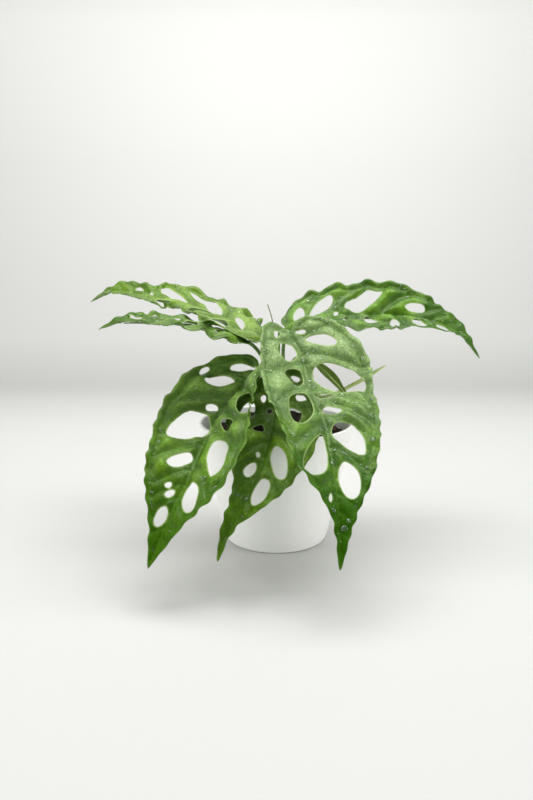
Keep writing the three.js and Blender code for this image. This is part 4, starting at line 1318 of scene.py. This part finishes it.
def add_chips(shape):
    """The bark chips that the solid soil has too, at the same places."""
    random = seeded_random(CHIPS["seed"])
    for i in range(CHIPS["count"]):
        angle = TURN * next(random)
        radius = CHIPS["innermost"] + (CHIPS["outermost"] - CHIPS["innermost"]) * math.sqrt(next(random))
        size = 0.6 + 0.5 * next(random)
        tilt_x, tilt_y = 0.5 * (next(random) - 0.5), 0.5 * (next(random) - 0.5)
        turn = TURN * next(random)
        x, y = polar(radius, angle)
        sizes = [CHIPS[key] * size for key in ("length", "width", "thickness")]
        lump, faces = rough_lump(sizes, i, CHIPS["squareness"])
        shape.add(bedded(lump, x, y, soil_height(x, y), tilt_x, tilt_y, turn), faces, 1)


def scatter_grains(shape, outermost):
    lie = GRAINS_LIE
    random = np.random.RandomState(lie["seed"])
    innermost = STEM["radius"] + GAP + lie["from_stem"]
    for grain in GRAINS:
        for i in range(grain["count"]):
            radius = outermost * math.sqrt(random.rand())
            if radius < innermost:
                continue
            x, y = polar(radius, TURN * random.rand())
            size = grain["least"] + (grain["most"] - grain["least"]) * random.rand() ** 2
            sizes = (size * (1 + random.rand()), size, size * grain["flat"])
            lump, faces = rough_lump(sizes, 40 + i, lie["squareness"])
            tilts = random.normal(0, lie["tilt"], 2)
            z = crumbly_height(x, y) + lie["raised"] * size
            shape.add(bedded(lump, x, y, z, *tilts, 6 * random.rand()), faces, grain["material"])


def make_soil(materials):
    shape = Shape()
    top_radius = pot_radius(SOIL["edge_height"]) - POT["wall"] - GAP
    add_soil_body(shape, top_radius)
    add_chips(shape)
    scatter_grains(shape, top_radius - GRAINS_LIE["from_wall"])
    shape.stand_in("soil", materials)


# Stage, camera and light

def make_stage():
    floor, tree, shader = new_material("floor", 0.6)
    height = node(tree, "ShaderNodeSeparateXYZ", Vector=object_place(tree)).outputs["Z"]
    # Painted shade and light on the stage: darker where the wall starts to rise, brighter towards its top
    tones = node(tree, "ShaderNodeValToRGB", Fac=remap(tree, height, 0, STAGE_SHADING_TOP * MM))
    stops = tones.color_ramp.elements
    for i, (z, tone) in enumerate(STAGE_SHADING):
        stop = stops[i] if i < 2 else stops.new(z / STAGE_SHADING_TOP)
        stop.position = z / STAGE_SHADING_TOP
        stop.color = rgb(tone, tone, tone * STAGE_WARMTH)
    feed_all(tree, shader, Base_Color=tones.outputs["Color"])
    back, bend = STAGE["back"], STAGE["bend"]
    profile = [(-STAGE["front"], 0), (back, 0)]
    for angle in np.radians(np.arange(5, 91, 5)):
        profile.append((back + bend * math.sin(angle), bend - bend * math.cos(angle)))
    profile.append((back + bend, STAGE["top"]))
    vertices = [(x, y, z - STAGE["below"]) for x in (-STAGE["side"], STAGE["side"]) for y, z in profile]
    mesh = new_mesh("floor", vertices, grid_faces(2, len(profile)), [floor])
    linked("floor", mesh)


def make_camera():
    data = bpy.data.cameras.new("camera")
    data.lens = CAMERA["lens"]
    data.sensor_width = CAMERA["sensor"]
    camera = linked("camera", data)
    camera.location = Vector(CAMERA["place"]) * MM
    camera.rotation_euler = (math.radians(90 - CAMERA["pitch"]), 0, math.radians(CAMERA["turn"]))
    bpy.context.scene.camera = camera


def make_light():
    world = bpy.data.worlds.new("studio")
    world.use_nodes = True
    feed_all(world.node_tree, world.node_tree.nodes["Background"],
             Color=rgb(*SKY["colour"]), Strength=SKY["strength"])
    bpy.context.scene.world = world
    for name, lamp in LIGHTS.items():
        data = bpy.data.lights.new(name, "AREA")
        data.shape = "RECTANGLE"
        data.size, data.size_y = (side * MM for side in lamp["size"])
        data.energy = lamp["power"]
        light = linked(name, data)
        light.location = Vector(lamp["place"]) * MM
        aim = Vector(lamp["target"]) - Vector(lamp["place"])
        light.rotation_euler = aim.to_track_quat("-Z", "Y").to_euler()
    bpy.context.scene.view_settings.view_transform = "Standard"


def main():
    make_camera()
    make_stage()
    make_light()
    leaf_look = leaf_material("leaf_blade")
    young_look = leaf_material("young_leaf_blade", **YOUNG_GREENS)
    looks = {name: plain_material(name) for name in PLAIN_LOOKS}
    blades = {}
    for i, (name, leaf) in enumerate(LEAVES.items()):
        blades[name] = make_leaf(name, leaf, [leaf_look, looks["stalk"]], 7.3 * i)
    make_drops(blades, water_material())
    make_stem(looks["stalk"])
    make_young_leaf([young_look, looks["stalk"]])
    make_slender("leaf_spear", SPEAR, looks["rolled_leaf"], 90, SPEAR_SEAM["depth"])
    make_slender("sheath_tip", SHEATH, looks["dry_sheath"], 70, 0)
    make_pot(looks["white_satin_plastic"])
    make_soil([looks["potting_mix"], looks["bark_chip"], looks["perlite"]])


main()
